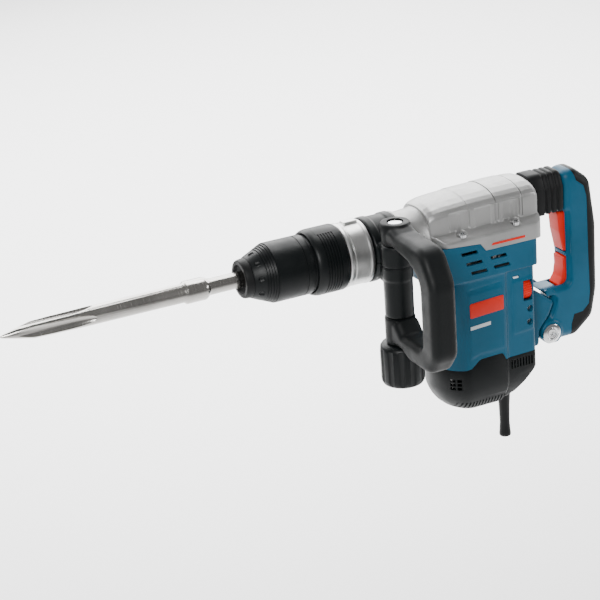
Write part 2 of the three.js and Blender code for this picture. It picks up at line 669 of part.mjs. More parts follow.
function makeRearHandle(group) {
  const lug = rod("y", 15, -LUG_HALF_WIDTH, LUG_HALF_WIDTH, [PIVOT.x, 0, PIVOT.z], 24);
  const beyond = prism("y", [...HANDLE_OUTER], -60, 60);
  const grip = join(
    prism("y", HANDLE_OUTER, -HANDLE_HALF_WIDTH, HANDLE_HALF_WIDTH),
    lug.intersect(beyond),
  );
  const back = prism("y", [...RUBBER_EDGE, [BIG, -190], [BIG, 60]], -60, 60);
  const front = prism("y", [
    ...RUBBER_EDGE.map(([x, z]) => [x - GAP, z]), [100, -190], [100, 60],
  ], -60, 60);
  add(group, "handle_rubber", grip.intersect(back), FINISHES.rubber);

  const switchRoom = block([246, -PADDLE_HALF_WIDTH - 0.8, -107], [274.5, PADDLE_HALF_WIDTH + 0.8, 6]);
  const bodyRoom = block([266, -15, -104], [284.5, 15, 8]);
  const upperRoom = block([250, -15, 8], [262.3, 15, 40]);
  const tongueRoom = join(
    rod("y", 15, -TONGUE_HALF_WIDTH - 1, TONGUE_HALF_WIDTH + 1, [PIVOT.x, 0, PIVOT.z], 20),
    block([200, -TONGUE_HALF_WIDTH - 1, -170], [PIVOT.x, TONGUE_HALF_WIDTH + 1, -137]),
  );
  const bridge = block([261, -13, -64.2], [266, 13, -59.6]);
  const shells = join(cut(grip.intersect(front), switchRoom, bodyRoom, upperRoom, tongueRoom), bridge);
  const pivotHole = rod("y", 5.3, -40, 40, [PIVOT.x, 0, PIVOT.z]);
  const washerSeat = join(
    rod("y", PIVOT.washer + GAP, 19.6, 40, [PIVOT.x, 0, PIVOT.z], 24),
    rod("y", PIVOT.washer + GAP, -40, -19.6, [PIVOT.x, 0, PIVOT.z], 24),
  );
  const whole = cut(shells, pivotHole, washerSeat);
  const half = (side) => block(
    [-BIG, Math.min(side * 0.15, side * BIG), -BIG],
    [BIG, Math.max(side * 0.15, side * BIG), BIG],
  );
  add(group, "handle_shell_left", whole.intersect(half(1)), FINISHES.blue);
  add(group, "handle_shell_right", whole.intersect(half(-1)), FINISHES.blue);
}

function makeHandleFittings(group) {
  const pin = join(
    rod("y", 5, -20.5, 20.5, [0, 0, 0]),
    turned("y", [
      [-23.5, 0], [-23.5, PIVOT.washer - 1.5], [-22.2, PIVOT.washer], [-20, PIVOT.washer], [-20, 0],
    ], [0, 0, 0], 24),
  );
  const socket = prism("y", toothed(6, 3.4, 3.4, 0.5, 0.5), -24, -21.5);
  add(group, "pivot_bolt", cut(pin, socket), FINISHES.chrome, [PIVOT.x, 0, PIVOT.z]);
  const nut = tube("y", PIVOT.washer, 5.3, 19.9, 23, [0, 0, 0], 24);
  add(group, "pivot_nut", nut, FINISHES.chrome, [PIVOT.x, 0, PIVOT.z]);
  add(group, "switch_body", block([276.2, -13, -90], [283.5, 13, -28]), FINISHES.black);
}

const PADDLE_HALF_WIDTH = 11;

function makeRocker(group) {
  const [front, back] = [-PADDLE_HALF_WIDTH, PADDLE_HALF_WIDTH];
  const upper = rounded([
    [252.5, -6.8, 3], [254.5, -32, 10], [260, -57.5], [268, -57.5], [268, -6.8],
  ], 3);
  add(group, "on_paddle", prism("y", upper, front, back, 1, 1), FINISHES.red);
  const lower = rounded([
    [259, -65.4, 2], [268, -65.4], [268, -103], [262, -105, 4], [254, -104.5, 3], [251.8, -99.5, 3],
    [257.5, -90, 8], [259.5, -78],
  ], 3);
  add(group, "off_paddle", prism("y", lower, front, back, 1, 1), FINISHES.red);
  add(group, "rocker_link", block([268.3, -7, -92], [271.8, 7, -12]), FINISHES.black);
}

function makeBellows(group) {
  const section = (inset) => rounded([
    [-21 + inset, -4 + inset, 4], [21 - inset, -4 + inset, 4], [21 - inset, 30, 8],
    [12, 46 - inset, 8], [-12, 46 - inset, 8], [-21 + inset, 30, 8],
  ], 2);
  const parts = [prism("x", section(0), CASE.rear + GAP, 234)];
  const [pitch, count] = [7.2, 3];
  for (let k = 0; k < count; k += 1) {
    const start = 234 + k * pitch;
    parts.push(prism("x", section(1.8), start - 1, start + 3.4));
    parts.push(prism("x", section(0), start + 3, start + pitch));
  }
  const hollow = prism("x", section(4.5), CASE.rear - 5, 262);
  add(group, "bellows", cut(join(...parts), hollow), FINISHES.rubber);
  add(group, "damper_spring", coil(9, 1.5, 214, 254, 6).translate([0, 0, 22]), FINISHES.steel);
}

// ---------------------------------------------------------------- side handle

function makeClamp(group) {
  const band = tube("x", CLAMP.radius, NECK.clampRadius + 0.2, CLAMP.front, CLAMP.rear, [0, 0, 0], FINE);
  const post = rod("z", CLAMP.post, CLAMP.bottom, CLAMP.top, [BOLT.x, BOLT.y, 0], 24);
  const bore = rod("x", NECK.clampRadius + 0.2, -10, 60, [0, 0, 0], FINE);
  const boltHole = rod("z", BOLT.radius + GAP, -BIG, BIG, [BOLT.x, BOLT.y, 0]);
  const whole = cut(join(band, post), bore, boltHole);
  const above = block([-BIG, -BIG, CLAMP.split + 0.2], [BIG, BIG, BIG]);
  const below = block([-BIG, -BIG, -BIG], [BIG, BIG, CLAMP.split - 0.2]);
  add(group, "clamp_jaw_upper", whole.intersect(above), FINISHES.black);
  add(group, "clamp_jaw_lower", whole.intersect(below), FINISHES.black);
}

const LOOP_OUTLINE = rounded([
  [BOLT.y, 46], [-67, 46], [-74, 42], [-133, 38, 24], [-155.8, 4, 34], [-155.8, -82, 20],
  [-138, -105, 18], [-92, -105, 10], [-76, -98], [BOLT.y, -98], [BOLT.y, -66], [-67, -66], [-79, -79],
  [-124.3, -80, 12], [-124.3, 2, 24], [-99, 15, 16], [-68, 20], [BOLT.y, 20],
], 3);

function makeLoop(group) {
  const loop = prism("x", LOOP_OUTLINE, BOLT.x - 15.7, BOLT.x + 15.7, 5, 1);
  const hubs = join(
    rod("z", 17, 20.1, 45.5, [BOLT.x, BOLT.y, 0], 24),
    rod("z", 17.5, -98, -66.1, [BOLT.x, BOLT.y, 0], 24),
  );
  const holes = join(
    rod("z", BOLT.radius + GAP, -BIG, BIG, [BOLT.x, BOLT.y, 0]),
    rod("z", 9.3, 37.5, BIG, [BOLT.x, BOLT.y, 0]),
  );
  const clampRoom = join(
    rod("x", CLAMP.radius + GAP, -60, 90, [0, 0, 0], FINE),
    rod("z", CLAMP.post + 1, CLAMP.bottom - GAP, CLAMP.top + GAP, [BOLT.x, BOLT.y, 0], 24),
  );
  add(group, "loop_handle", cut(join(loop, hubs), holes, clampRoom), FINISHES.black);
}

function makeClampFittings(group) {
  const boltShape = join(
    rod("z", BOLT.radius, BOLT.bottom, BOLT.top - 4, [0, 0, 0]),
    prism("z", toothed(6, 8.6, 8.6, 0.5, 0.5), 37.9, BOLT.top),
  );
  add(group, "clamp_bolt", boltShape, FINISHES.steel, [BOLT.x, BOLT.y, 0]);
  const flutes = toothed(8, KNOB.radius - 2.5, KNOB.radius, 0.8, 0.55);
  const knob = cut(
    join(prism("z", flutes, KNOB.bottom, KNOB.top - 4), rod("z", 21, KNOB.top - 5, KNOB.top, [0, 0, 0], 24)),
    rod("z", BOLT.radius + GAP, BOLT.bottom - 2, 0, [0, 0, 0]),
  );
  add(group, "clamp_knob", knob, FINISHES.black, [BOLT.x, BOLT.y, 0]);
}

// ---------------------------------------------------------------- assembly

function assembly(...makers) {
  const group = new THREE.Group();
  makers.forEach((make) => make(group));
  return group;
}

const hammer = new THREE.Group();
hammer.add(
  assembly(makeChisel, makeToolHolder, makeSleeve, makeRings),
  assembly(makeHammerTrain, makeCrank),
  assembly(makeArmature, makeStator),
  assembly(makeMotorHousing, makeHousingTrim, makeCap, makeGearHousing, makeCaseScrews),
  assembly(makeRearHandle, makeHandleFittings, makeRocker, makeBellows),
  assembly(makeClamp, makeLoop, makeClampFittings),
);

export default hammer;
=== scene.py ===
"""A demolition hammer: the finished surfaces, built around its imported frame.

Every piece is modelled with Blender's own modelling operators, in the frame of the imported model:
+X runs along the striking axis to the rear handle, +Z is up, and the motor hangs down.
Sizes are written in millimetres and turned into metres as the meshes are made.
"""

import json
import logging
from collections.abc import Callable, Iterable, Sequence
from dataclasses import dataclass, field
from enum import Enum
from math import acos, cos, pi, radians, sin, tan

import bpy
from mathutils import Matrix, Vector


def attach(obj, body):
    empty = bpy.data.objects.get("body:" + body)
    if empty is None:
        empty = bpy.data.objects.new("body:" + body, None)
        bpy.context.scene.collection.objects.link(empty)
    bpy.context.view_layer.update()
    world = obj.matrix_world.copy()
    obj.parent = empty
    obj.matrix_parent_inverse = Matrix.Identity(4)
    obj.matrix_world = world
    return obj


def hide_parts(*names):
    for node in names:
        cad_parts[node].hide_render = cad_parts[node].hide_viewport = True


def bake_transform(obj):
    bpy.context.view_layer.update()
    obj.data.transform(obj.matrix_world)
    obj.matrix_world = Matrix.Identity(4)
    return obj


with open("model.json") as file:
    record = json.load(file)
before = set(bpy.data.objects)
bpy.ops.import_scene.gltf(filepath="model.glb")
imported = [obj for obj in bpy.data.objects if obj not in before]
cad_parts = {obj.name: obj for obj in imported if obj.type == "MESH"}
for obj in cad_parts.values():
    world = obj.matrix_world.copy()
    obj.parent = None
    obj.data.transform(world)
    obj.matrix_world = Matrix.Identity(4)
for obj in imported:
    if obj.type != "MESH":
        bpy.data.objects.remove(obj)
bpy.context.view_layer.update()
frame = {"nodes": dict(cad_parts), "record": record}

MM = 0.001
BIG = 400.0
CLEAR = 0.4

Point = Sequence[float]
Outline = list[tuple[float, float]]

log = logging.getLogger("hammer")


class Axis(Enum):
    """An axis of the frame, with the place of a drawn (u, v) point and its sweep."""

    X = 0
    Y = 1
    Z = 2

    def vector(self) -> Vector:
        """The unit vector along the axis."""
        return Vector([1.0 if i == self.value else 0.0 for i in range(3)])

    def place(self, u: float, v: float, along: float) -> Vector:
        """A point drawn at (u, v) in the plane across the axis, and along it.

        Args:
            u: The first drawn coordinate: y on X, x on Y and x on Z.
            v: The second drawn coordinate: z on X, z on Y and y on Z.
            along: The place along the axis.

        Returns:
            The point in the frame, in millimetres.
        """
        if self is Axis.X:
            return Vector((along, u, v))
        if self is Axis.Y:
            return Vector((u, along, v))
        return Vector((u, v, along))


class Join(Enum):
    """The three ways to combine two closed meshes."""

    ADD = "UNION"
    CUT = "DIFFERENCE"
    KEEP = "INTERSECT"


# ---------------------------------------------------------------- modelling


def clear_selection() -> None:
    """Leaves edit mode and deselects every object."""
    active = bpy.context.view_layer.objects.active
    if active is not None and active.mode != "OBJECT":
        bpy.ops.object.mode_set(mode="OBJECT")
    bpy.ops.object.select_all(action="DESELECT")


def pick(obj: bpy.types.Object) -> None:
    """Selects one object alone and makes it active."""
    clear_selection()
    obj.select_set(True)
    bpy.context.view_layer.objects.active = obj


def chain(name: str, points: Iterable[Vector]) -> bpy.types.Object:
    """Draws a chain of edges by extruding one vertex from point to point.

    Args:
        name: The new object's name.
        points: The points in millimetres.

    Returns:
        The object, left in edit mode.
    """
    clear_selection()
    bpy.ops.mesh.primitive_plane_add(size=MM)
    obj = bpy.context.view_layer.objects.active
    obj.name = name
    obj.data.name = name
    bpy.ops.object.mode_set(mode="EDIT")
    bpy.ops.mesh.select_mode(type="VERT")
    bpy.ops.mesh.select_all(action="SELECT")
    bpy.ops.mesh.merge(type="CENTER")
    here = Vector((0.0, 0.0, 0.0))
    for number, point in enumerate(points):
        step = (point - here) * MM
        if number == 0:
            bpy.ops.transform.translate(value=step)
        else:
            bpy.ops.mesh.extrude_region_move(TRANSFORM_OT_translate={"value": step})
        here = point
    bpy.ops.mesh.select_all(action="SELECT")
    return obj


def closed_up(obj: bpy.types.Object) -> bpy.types.Object:
    """Merges doubled vertices, turns the faces outward and leaves edit mode."""
    bpy.ops.mesh.select_all(action="SELECT")
    bpy.ops.mesh.remove_doubles(threshold=1e-6)
    bpy.ops.mesh.normals_make_consistent(inside=False)
    bpy.ops.object.mode_set(mode="OBJECT")
    return obj


def slab(name: str, axis: Axis, outline: Outline, low: float, high: float) -> bpy.types.Object:
    """Sweeps a filled outline along an axis.

    Args:
        name: The new object's name.
        axis: The axis of the sweep.
        outline: The corners, drawn across the axis.
        low: Where the sweep starts.
        high: Where the sweep ends.

    Returns:
        The closed solid.
    """
    obj = chain(name, [axis.place(u, v, low) for u, v in outline])
    bpy.ops.mesh.edge_face_add()
    sweep = axis.vector() * (high - low) * MM
    bpy.ops.mesh.extrude_region_move(TRANSFORM_OT_translate={"value": sweep})
    return closed_up(obj)


def tapered(
    name: str, axis: Axis, outline: Outline, rows: list[tuple[float, float]], centre: Point
) -> bpy.types.Object:
    """Sweeps a filled outline through rows, each scaled about a centre line.

    Args:
        name: The new object's name.
        axis: The axis of the sweep.
        outline: The outline at full size.
        rows: The place along the axis and the scale of each row.
        centre: The drawn point that the rows shrink towards.

    Returns:
        The closed solid.
    """
    u0, v0 = centre
    first, scale = rows[0]
    drawn = [(u0 + (u - u0) * scale, v0 + (v - v0) * scale) for u, v in outline]
    obj = chain(name, [axis.place(u, v, first) for u, v in drawn])
    bpy.ops.mesh.edge_face_add()
    for place, next_scale in rows[1:]:
        step = axis.vector() * (place - first) * MM
        bpy.ops.mesh.extrude_region_move(TRANSFORM_OT_translate={"value": step})
        share = next_scale / scale
        value = [1.0 if i == axis.value else share for i in range(3)]
        pivot = axis.place(u0, v0, place) * MM
        bpy.ops.transform.resize(value=value, center_override=pivot)
        first, scale = place, next_scale
    return closed_up(obj)


def spun(
    name: str,
    axis: Axis,
    profile: Outline,
    centre: Point = (0.0, 0.0, 0.0),
    steps: int = 72,
) -> bpy.types.Object:
    """Turns a profile of (along, radius) points round an axis.

    Args:
        name: The new object's name.
        axis: The axis to turn round.
        profile: The profile. It starts and ends on the axis, or goes round a ring's section.
        centre: A point that the axis goes through.
        steps: The number of steps in a full turn.

    Returns:
        The closed solid.
    """
    ring = profile[0][1] > 0
    points = [*profile, profile[0]] if ring else profile
    origin = Vector(centre)
    if axis is Axis.Z:
        drawn = [origin + Vector((r, 0.0, a)) for a, r in points]
    elif axis is Axis.Y:
        drawn = [origin + Vector((r, a, 0.0)) for a, r in points]
    else:
        drawn = [origin + Vector((a, 0.0, r)) for a, r in points]
    obj = chain(name, drawn)
    bpy.ops.mesh.spin(steps=steps, angle=2 * pi, center=origin * MM, axis=axis.vector())
    return closed_up(obj)


def rod(
    axis: Axis, radius: float, low: float, high: float, centre: Point, steps: int = 32
) -> bpy.types.Object:
    """A plain round cutter or boss along an axis."""
    profile = [(low, 0.0), (low, radius), (high, radius), (high, 0.0)]
    return spun("rod", axis, profile, centre, steps)


def block(low: Point, high: Point) -> bpy.types.Object:
    """A plain box between two corners, used to cut or to join."""
    corners = [(low[0], low[1]), (high[0], low[1]), (high[0], high[1]), (low[0], high[1])]
    return slab("block", Axis.Z, corners, low[2], high[2])


def apply(obj: bpy.types.Object, kind: str, settings: dict[str, object]) -> bpy.types.Object:
    """Adds a modifier with its settings and applies it."""
    pick(obj)
    modifier = obj.modifiers.new(kind.lower(), kind)
    for key, value in settings.items():
        setattr(modifier, key, value)
    bpy.ops.object.modifier_apply(modifier=modifier.name)
    return obj


def combine(obj: bpy.types.Object, other: bpy.types.Object, how: Join) -> bpy.types.Object:
    """Joins, cuts or keeps by another solid, which is used up."""
    apply(obj, "BOOLEAN", {"operation": how.value, "solver": "EXACT", "object": other})
    if not obj.data.polygons:
        raise RuntimeError(f"{obj.name} has no face left after {how.name} with {other.name}")
    bpy.data.objects.remove(other, do_unlink=True)
    return obj


def add(obj: bpy.types.Object, *others: bpy.types.Object) -> bpy.types.Object:
    """Joins other solids to one."""
    for other in others:
        combine(obj, other, Join.ADD)
    return obj


def cut(obj: bpy.types.Object, *others: bpy.types.Object) -> bpy.types.Object:
    """Cuts other solids out of one."""
    for other in others:
        combine(obj, other, Join.CUT)
    return obj


def keep(obj: bpy.types.Object, *others: bpy.types.Object) -> bpy.types.Object:
    """Keeps only what a solid shares with the others."""
    for other in others:
        combine(obj, other, Join.KEEP)
    return obj


def bevelled(obj: bpy.types.Object, width: float, segments: int = 3, angle: float = 35.0) -> bpy.types.Object:
    """Rounds the edges that are sharper than an angle, in degrees."""
    settings = {
        "width": width * MM,
        "segments": segments,
        "limit_method": "ANGLE",
        "angle_limit": radians(angle),
        "miter_outer": "MITER_ARC",
    }
    return apply(obj, "BEVEL", settings)


def moulded(obj: bpy.types.Object, voxel: float, passes: int) -> bpy.types.Object:
    """Melts a rough solid into one soft moulded skin.

    Args:
        obj: The closed solid.
        voxel: The size of the new skin's faces, in millimetres.
        passes: How many times the skin is smoothed.

    Returns:
        The same object.
    """
    apply(obj, "REMESH", {"mode": "VOXEL", "voxel_size": voxel * MM, "adaptivity": 0.0})
    return apply(obj, "SMOOTH", {"factor": 0.5, "iterations": passes})


def soft_edged(obj: bpy.types.Object, width: float, voxel: float) -> bpy.types.Object:
    """Rounds every edge widely, and melts the result to one clean skin.

    Args:
        obj: The closed solid.
        width: The width of the rounds, in millimetres.
        voxel: The size of the new skin's faces, in millimetres.

    Returns:
        The same object.
    """
    settings = {
        "width": width * MM,
        "segments": 5,
        "limit_method": "ANGLE",
        "angle_limit": radians(60),
        "use_clamp_overlap": False,
    }
    apply(obj, "BEVEL", settings)
    return apply(obj, "REMESH", {"mode": "VOXEL", "voxel_size": voxel * MM, "adaptivity": 0.0})


def copied(obj: bpy.types.Object, name: str, shift: Point = (0.0, 0.0, 0.0)) -> bpy.types.Object:
    """A copy with its own mesh, moved by a number of millimetres."""
    twin = obj.copy()
    twin.data = obj.data.copy()
    twin.name = name
    twin.data.name = name
    bpy.context.scene.collection.objects.link(twin)
    twin.location = twin.location + Vector(shift) * MM
    pick(twin)
    bpy.ops.object.transform_apply(location=True, rotation=True, scale=True)
    return twin


def mirrored(obj: bpy.types.Object) -> bpy.types.Object:
    """Adds the mirror image of a cutter on the other side of the machine."""
    apply(obj, "MIRROR", {"use_axis": (False, True, False), "use_mirror_merge": False})
    pick(obj)
    bpy.ops.object.mode_set(mode="EDIT")
    return closed_up(obj)


def turned_copies(obj: bpy.types.Object, axis: Axis, centre: Point, count: int) -> bpy.types.Object:
    """Repeats a cutter evenly round an axis and makes one object of the copies."""
    pivot = Vector(centre) * MM
    twins = []
    for number in range(1, count):
        twin = copied(obj, obj.name)
        turn = Matrix.Rotation(2 * pi * number / count, 4, axis.vector())
        twin.data.transform(Matrix.Translation(pivot) @ turn @ Matrix.Translation(-pivot))
        twins.append(twin)
    pick(obj)
    for twin in twins:
        twin.select_set(True)
    bpy.ops.object.join()
    return obj


def row_of(make: Callable[[float], bpy.types.Object], places: Iterable[float]) -> bpy.types.Object:
    """Makes one cutter at each place and joins them as one object, where they don't touch."""
    made = [make(place) for place in places]
    pick(made[0])
    for other in made[1:]:
        other.select_set(True)
    bpy.ops.object.join()
    return made[0]


def rounded(corners: list[tuple[float, ...]], steps: int = 6) -> Outline:
    """Rounds the corners of an outline.

    Args:
        corners: Each corner as (u, v) or (u, v, radius).
        steps: How many steps each round takes.

    Returns:
        The outline's points.
    """
    points: Outline = []
    for number, (u, v, *more) in enumerate(corners):
        if not more:
            points.append((u, v))
            continue
        corner = Vector((u, v))
        before = (Vector(corners[number - 1][:2]) - corner).normalized()
        after = (Vector(corners[(number + 1) % len(corners)][:2]) - corner).normalized()
        reach = more[0] / tan(acos(max(-1.0, min(1.0, before.dot(after)))) / 2)
        start, end = corner + before * reach, corner + after * reach
        for k in range(steps + 1):
            t = k / steps
            point = start * (1 - t) ** 2 + corner * (2 * t * (1 - t)) + end * t**2
            points.append((point.x, point.y))
    return points


def toothed(count: int, root: float, tip: float, root_share: float, tip_share: float) -> Outline:
    """The outline of a ribbed wheel, with each tooth's root and tip width as a share of the pitch."""
    pitch = 2 * pi / count
    outline: Outline = []
    for tooth in range(count):
        for radius, offset in ((root, -root_share), (tip, -tip_share), (tip, tip_share), (root, root_share)):
            angle = pitch * (tooth + offset / 2)
            outline.append((radius * cos(angle), radius * sin(angle)))
    return outline


def shifted(outline: Outline, u: float, v: float) -> Outline:
    """An outline moved in its own plane."""
    return [(a + u, b + v) for a, b in outline]


# ---------------------------------------------------------------- finishes


class Sheet:
    """A material's node sheet, with the few moves that every finish needs."""

    def __init__(self, name: str) -> None:
        """Starts a material with one Principled shader."""
        self.material = bpy.data.materials.new(name)
        self.material.use_nodes = True
        self.nodes = self.material.node_tree.nodes
        self.links = self.material.node_tree.links
        self.shader = self.nodes["Principled BSDF"]
        self.place = self.nodes.new("ShaderNodeTexCoord").outputs["Object"]

    def noise(self, scale: float, detail: float = 4.0, stretch: Point | None = None) -> bpy.types.NodeSocket:
        """A noise pattern on the piece's own coordinates.

        Args:
            scale: Repeats per metre.
            detail: The number of finer layers.
            stretch: How much denser the pattern is along each axis.

        Returns:
            The pattern's value socket.
        """
        source = self.place
        if stretch is not None:
            mapping = self.nodes.new("ShaderNodeMapping")
            mapping.inputs["Scale"].default_value = stretch
            self.links.new(source, mapping.inputs["Vector"])
            source = mapping.outputs["Vector"]
        node = self.nodes.new("ShaderNodeTexNoise")
        node.inputs["Scale"].default_value = scale
        node.inputs["Detail"].default_value = detail
        self.links.new(source, node.inputs["Vector"])
        return node.outputs["Fac"]

    def ramp(self, source: bpy.types.NodeSocket, stops: list[tuple[float, Point]]) -> bpy.types.NodeSocket:
        """Colours or values picked along a pattern."""
        node = self.nodes.new("ShaderNodeValToRGB")
        elements = node.color_ramp.elements
        while len(elements) < len(stops):
            elements.new(0.5)
        for element, (position, colour) in zip(elements, stops):
            element.position = position
            element.color = (*colour, 1.0)
        self.links.new(source, node.inputs["Fac"])
        return node.outputs["Color"]

    def bump(self, height: bpy.types.NodeSocket, depth: float, strength: float = 1.0) -> None:
        """Raises the surface by a pattern, over what was raised before."""
        node = self.nodes.new("ShaderNodeBump")
        node.inputs["Distance"].default_value = depth * MM
        node.inputs["Strength"].default_value = strength
        self.links.new(height, node.inputs["Height"])
        normal = self.shader.inputs["Normal"]
        if normal.is_linked:
            self.links.new(normal.links[0].from_socket, node.inputs["Normal"])
        self.links.new(node.outputs["Normal"], normal)

    def feed(self, source: bpy.types.NodeSocket, name: str) -> None:
        """Links a pattern to one of the shader's inputs."""
        self.links.new(source, self.shader.inputs[name])


def grey(value: float) -> tuple[float, float, float]:
    """A grey colour of one value."""
    return (value, value, value)


def tinted(colour: Point, share: float) -> tuple[float, float, float]:
    """A colour made lighter or darker by a share."""
    return tuple(min(1.0, channel * share) for channel in colour)


@dataclass(frozen=True)
class Moulded:
    """A moulded plastic or rubber finish with a fine spark-eroded grain."""

    name: str
    colour: tuple[float, float, float]
    roughness: float
    grain: float
    grain_depth: float
    coat: float = 0.0
    shine: float = 0.24

    def material(self) -> bpy.types.Material:
        """Builds the material."""
        sheet = Sheet(self.name)
        broad = sheet.noise(14.0, 3.0)
        stops = [(0.3, tinted(self.colour, 0.88)), (0.7, tinted(self.colour, 1.14))]
        sheet.feed(sheet.ramp(broad, stops), "Base Color")
        fine = sheet.noise(self.grain, 2.0)
        rough = sheet.noise(60.0, 5.0)
        low, high = self.roughness - 0.06, min(1.0, self.roughness + 0.08)
        sheet.feed(sheet.ramp(rough, [(0.3, grey(low)), (0.7, grey(high))]), "Roughness")
        sheet.bump(fine, self.grain_depth)
        sheet.shader.inputs["Coat Weight"].default_value = self.coat
        sheet.shader.inputs["Coat Roughness"].default_value = 0.25
        sheet.shader.inputs["Specular IOR Level"].default_value = self.shine
        return sheet.material


@dataclass(frozen=True)
class Cast:
    """Die-cast aluminium, blasted to a fine satin skin."""

    name: str
    colour: tuple[float, float, float]

    def material(self) -> bpy.types.Material:
        """Builds the material."""
        sheet = Sheet(self.name)
        cloud = sheet.noise(22.0, 6.0)
        stops = [(0.32, tinted(self.colour, 0.9)), (0.68, tinted(self.colour, 1.08))]
        sheet.feed(sheet.ramp(cloud, stops), "Base Color")
        rough = sheet.noise(140.0, 4.0)
        sheet.feed(sheet.ramp(rough, [(0.3, grey(0.36)), (0.7, grey(0.5))]), "Roughness")
        sheet.bump(sheet.noise(1500.0, 2.0), 0.05)
        sheet.bump(sheet.noise(180.0, 3.0), 0.08)
        sheet.shader.inputs["Metallic"].default_value = 0.75
        return sheet.material


@dataclass(frozen=True)
class Turned:
    """Steel that was turned or ground, with fine marks across its axis."""

    name: str
    colour: tuple[float, float, float]
    roughness: float
    marks: float
    axis: Axis = Axis.X

    def material(self) -> bpy.types.Material:
        """Builds the material."""
        sheet = Sheet(self.name)
        stretch = tuple(1.0 if i == self.axis.value else 0.02 for i in range(3))
        lines = sheet.noise(self.marks, 3.0, stretch)
        cloud = sheet.noise(30.0, 5.0)
        stops = [(0.3, tinted(self.colour, 0.82)), (0.7, tinted(self.colour, 1.05))]
        sheet.feed(sheet.ramp(cloud, stops), "Base Color")
        low, high = max(0.03, self.roughness - 0.05), self.roughness + 0.08
        sheet.feed(sheet.ramp(lines, [(0.3, grey(low)), (0.7, grey(high))]), "Roughness")
        sheet.bump(lines, 0.015)
        sheet.shader.inputs["Metallic"].default_value = 1.0
        return sheet.material


@dataclass(frozen=True)
class Finishes:
    """Every finish of the machine, each made once."""

    blue: bpy.types.Material = field(
        default_factory=Moulded("blue_casing", (0.009, 0.092, 0.165), 0.4, 900.0, 0.03).material
    )
    red: bpy.types.Material = field(
        default_factory=Moulded("red_plastic", (0.72, 0.017, 0.005), 0.42, 1200.0, 0.02).material
    )
    black: bpy.types.Material = field(
        default_factory=Moulded("black_plastic", (0.004, 0.0055, 0.006), 0.4, 1100.0, 0.05).material
    )
    soft: bpy.types.Material = field(
        default_factory=Moulded("soft_black_grip", (0.005, 0.0062, 0.0066), 0.52, 800.0, 0.08).material
    )
    rubber: bpy.types.Material = field(
        default_factory=Moulded("black_rubber", (0.005, 0.0055, 0.006), 0.5, 700.0, 0.05).material
    )
    casting: bpy.types.Material = field(default_factory=Cast("cast_aluminium", (0.44, 0.44, 0.435)).material)
    flange: bpy.types.Material = field(
        default_factory=Turned("machined_flange", (0.8, 0.8, 0.79), 0.33, 2600.0).material
    )
    steel: bpy.types.Material = field(
        default_factory=Turned("ground_steel", (0.62, 0.6, 0.57), 0.2, 1800.0).material
    )
    hidden_steel: bpy.types.Material = field(
        default_factory=Turned("oiled_steel", (0.4, 0.4, 0.4), 0.28, 1200.0, Axis.Z).material
    )
    chrome: bpy.types.Material = field(
        default_factory=Turned("bright_chrome", (0.86, 0.87, 0.88), 0.1, 2000.0, Axis.Y).material
    )
    copper: bpy.types.Material = field(
        default_factory=Turned("wound_copper", (0.72, 0.33, 0.16), 0.3, 2500.0, Axis.Z).material
    )
    carbon: bpy.types.Material = field(
        default_factory=Moulded("sintered_carbon", (0.02, 0.02, 0.022), 0.7, 1500.0, 0.05).material
    )
    board: bpy.types.Material = field(
        default_factory=Moulded("lacquered_board", (0.01, 0.12, 0.04), 0.35, 1500.0, 0.02, 0.4).material
    )
    lamp: bpy.types.Material = field(
        default_factory=Moulded("clear_lamp", (0.75, 0.82, 0.86), 0.15, 1500.0, 0.01, 0.5).material
    )
    pale: bpy.types.Material = field(
        default_factory=Moulded("pale_print", (0.7, 0.74, 0.76), 0.4, 1500.0, 0.01).material
    )


def shaded(
    obj: bpy.types.Object, material: bpy.types.Material, angle: float = 32.0
) -> bpy.types.Object:
    """Shades a piece and gives it its material.

    Args:
        obj: The finished piece.
        material: Its material.
        angle: Edges sharper than this stay crisp, in degrees.

    Returns:
        The same object.
    """
    pick(obj)
    bpy.ops.object.transform_apply(location=True, rotation=True, scale=True)
    bpy.ops.object.shade_smooth_by_angle(angle=radians(angle))
    obj.data.materials.clear()
    obj.data.materials.append(material)
    log.info("%s: %d faces", obj.name, len(obj.data.polygons))
    return obj


def finish(
    obj: bpy.types.Object,
    material: bpy.types.Material,
    body: str,
    nodes: Sequence[str] = (),
    angle: float = 32.0,
) -> bpy.types.Object:
    """Shades a rigid piece and ties it to its body in the frame.

    Args:
        obj: The finished piece.
        material: Its material.
        body: The body that it moves with.
        nodes: The CAD nodes that it stands for.
        angle: Edges sharper than this stay crisp, in degrees.

    Returns:
        The same object.
    """
    shaded(obj, material, angle)
    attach(obj, body)
    if nodes:
        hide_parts(*nodes)
    return obj


# ---------------------------------------------------------------- chuck


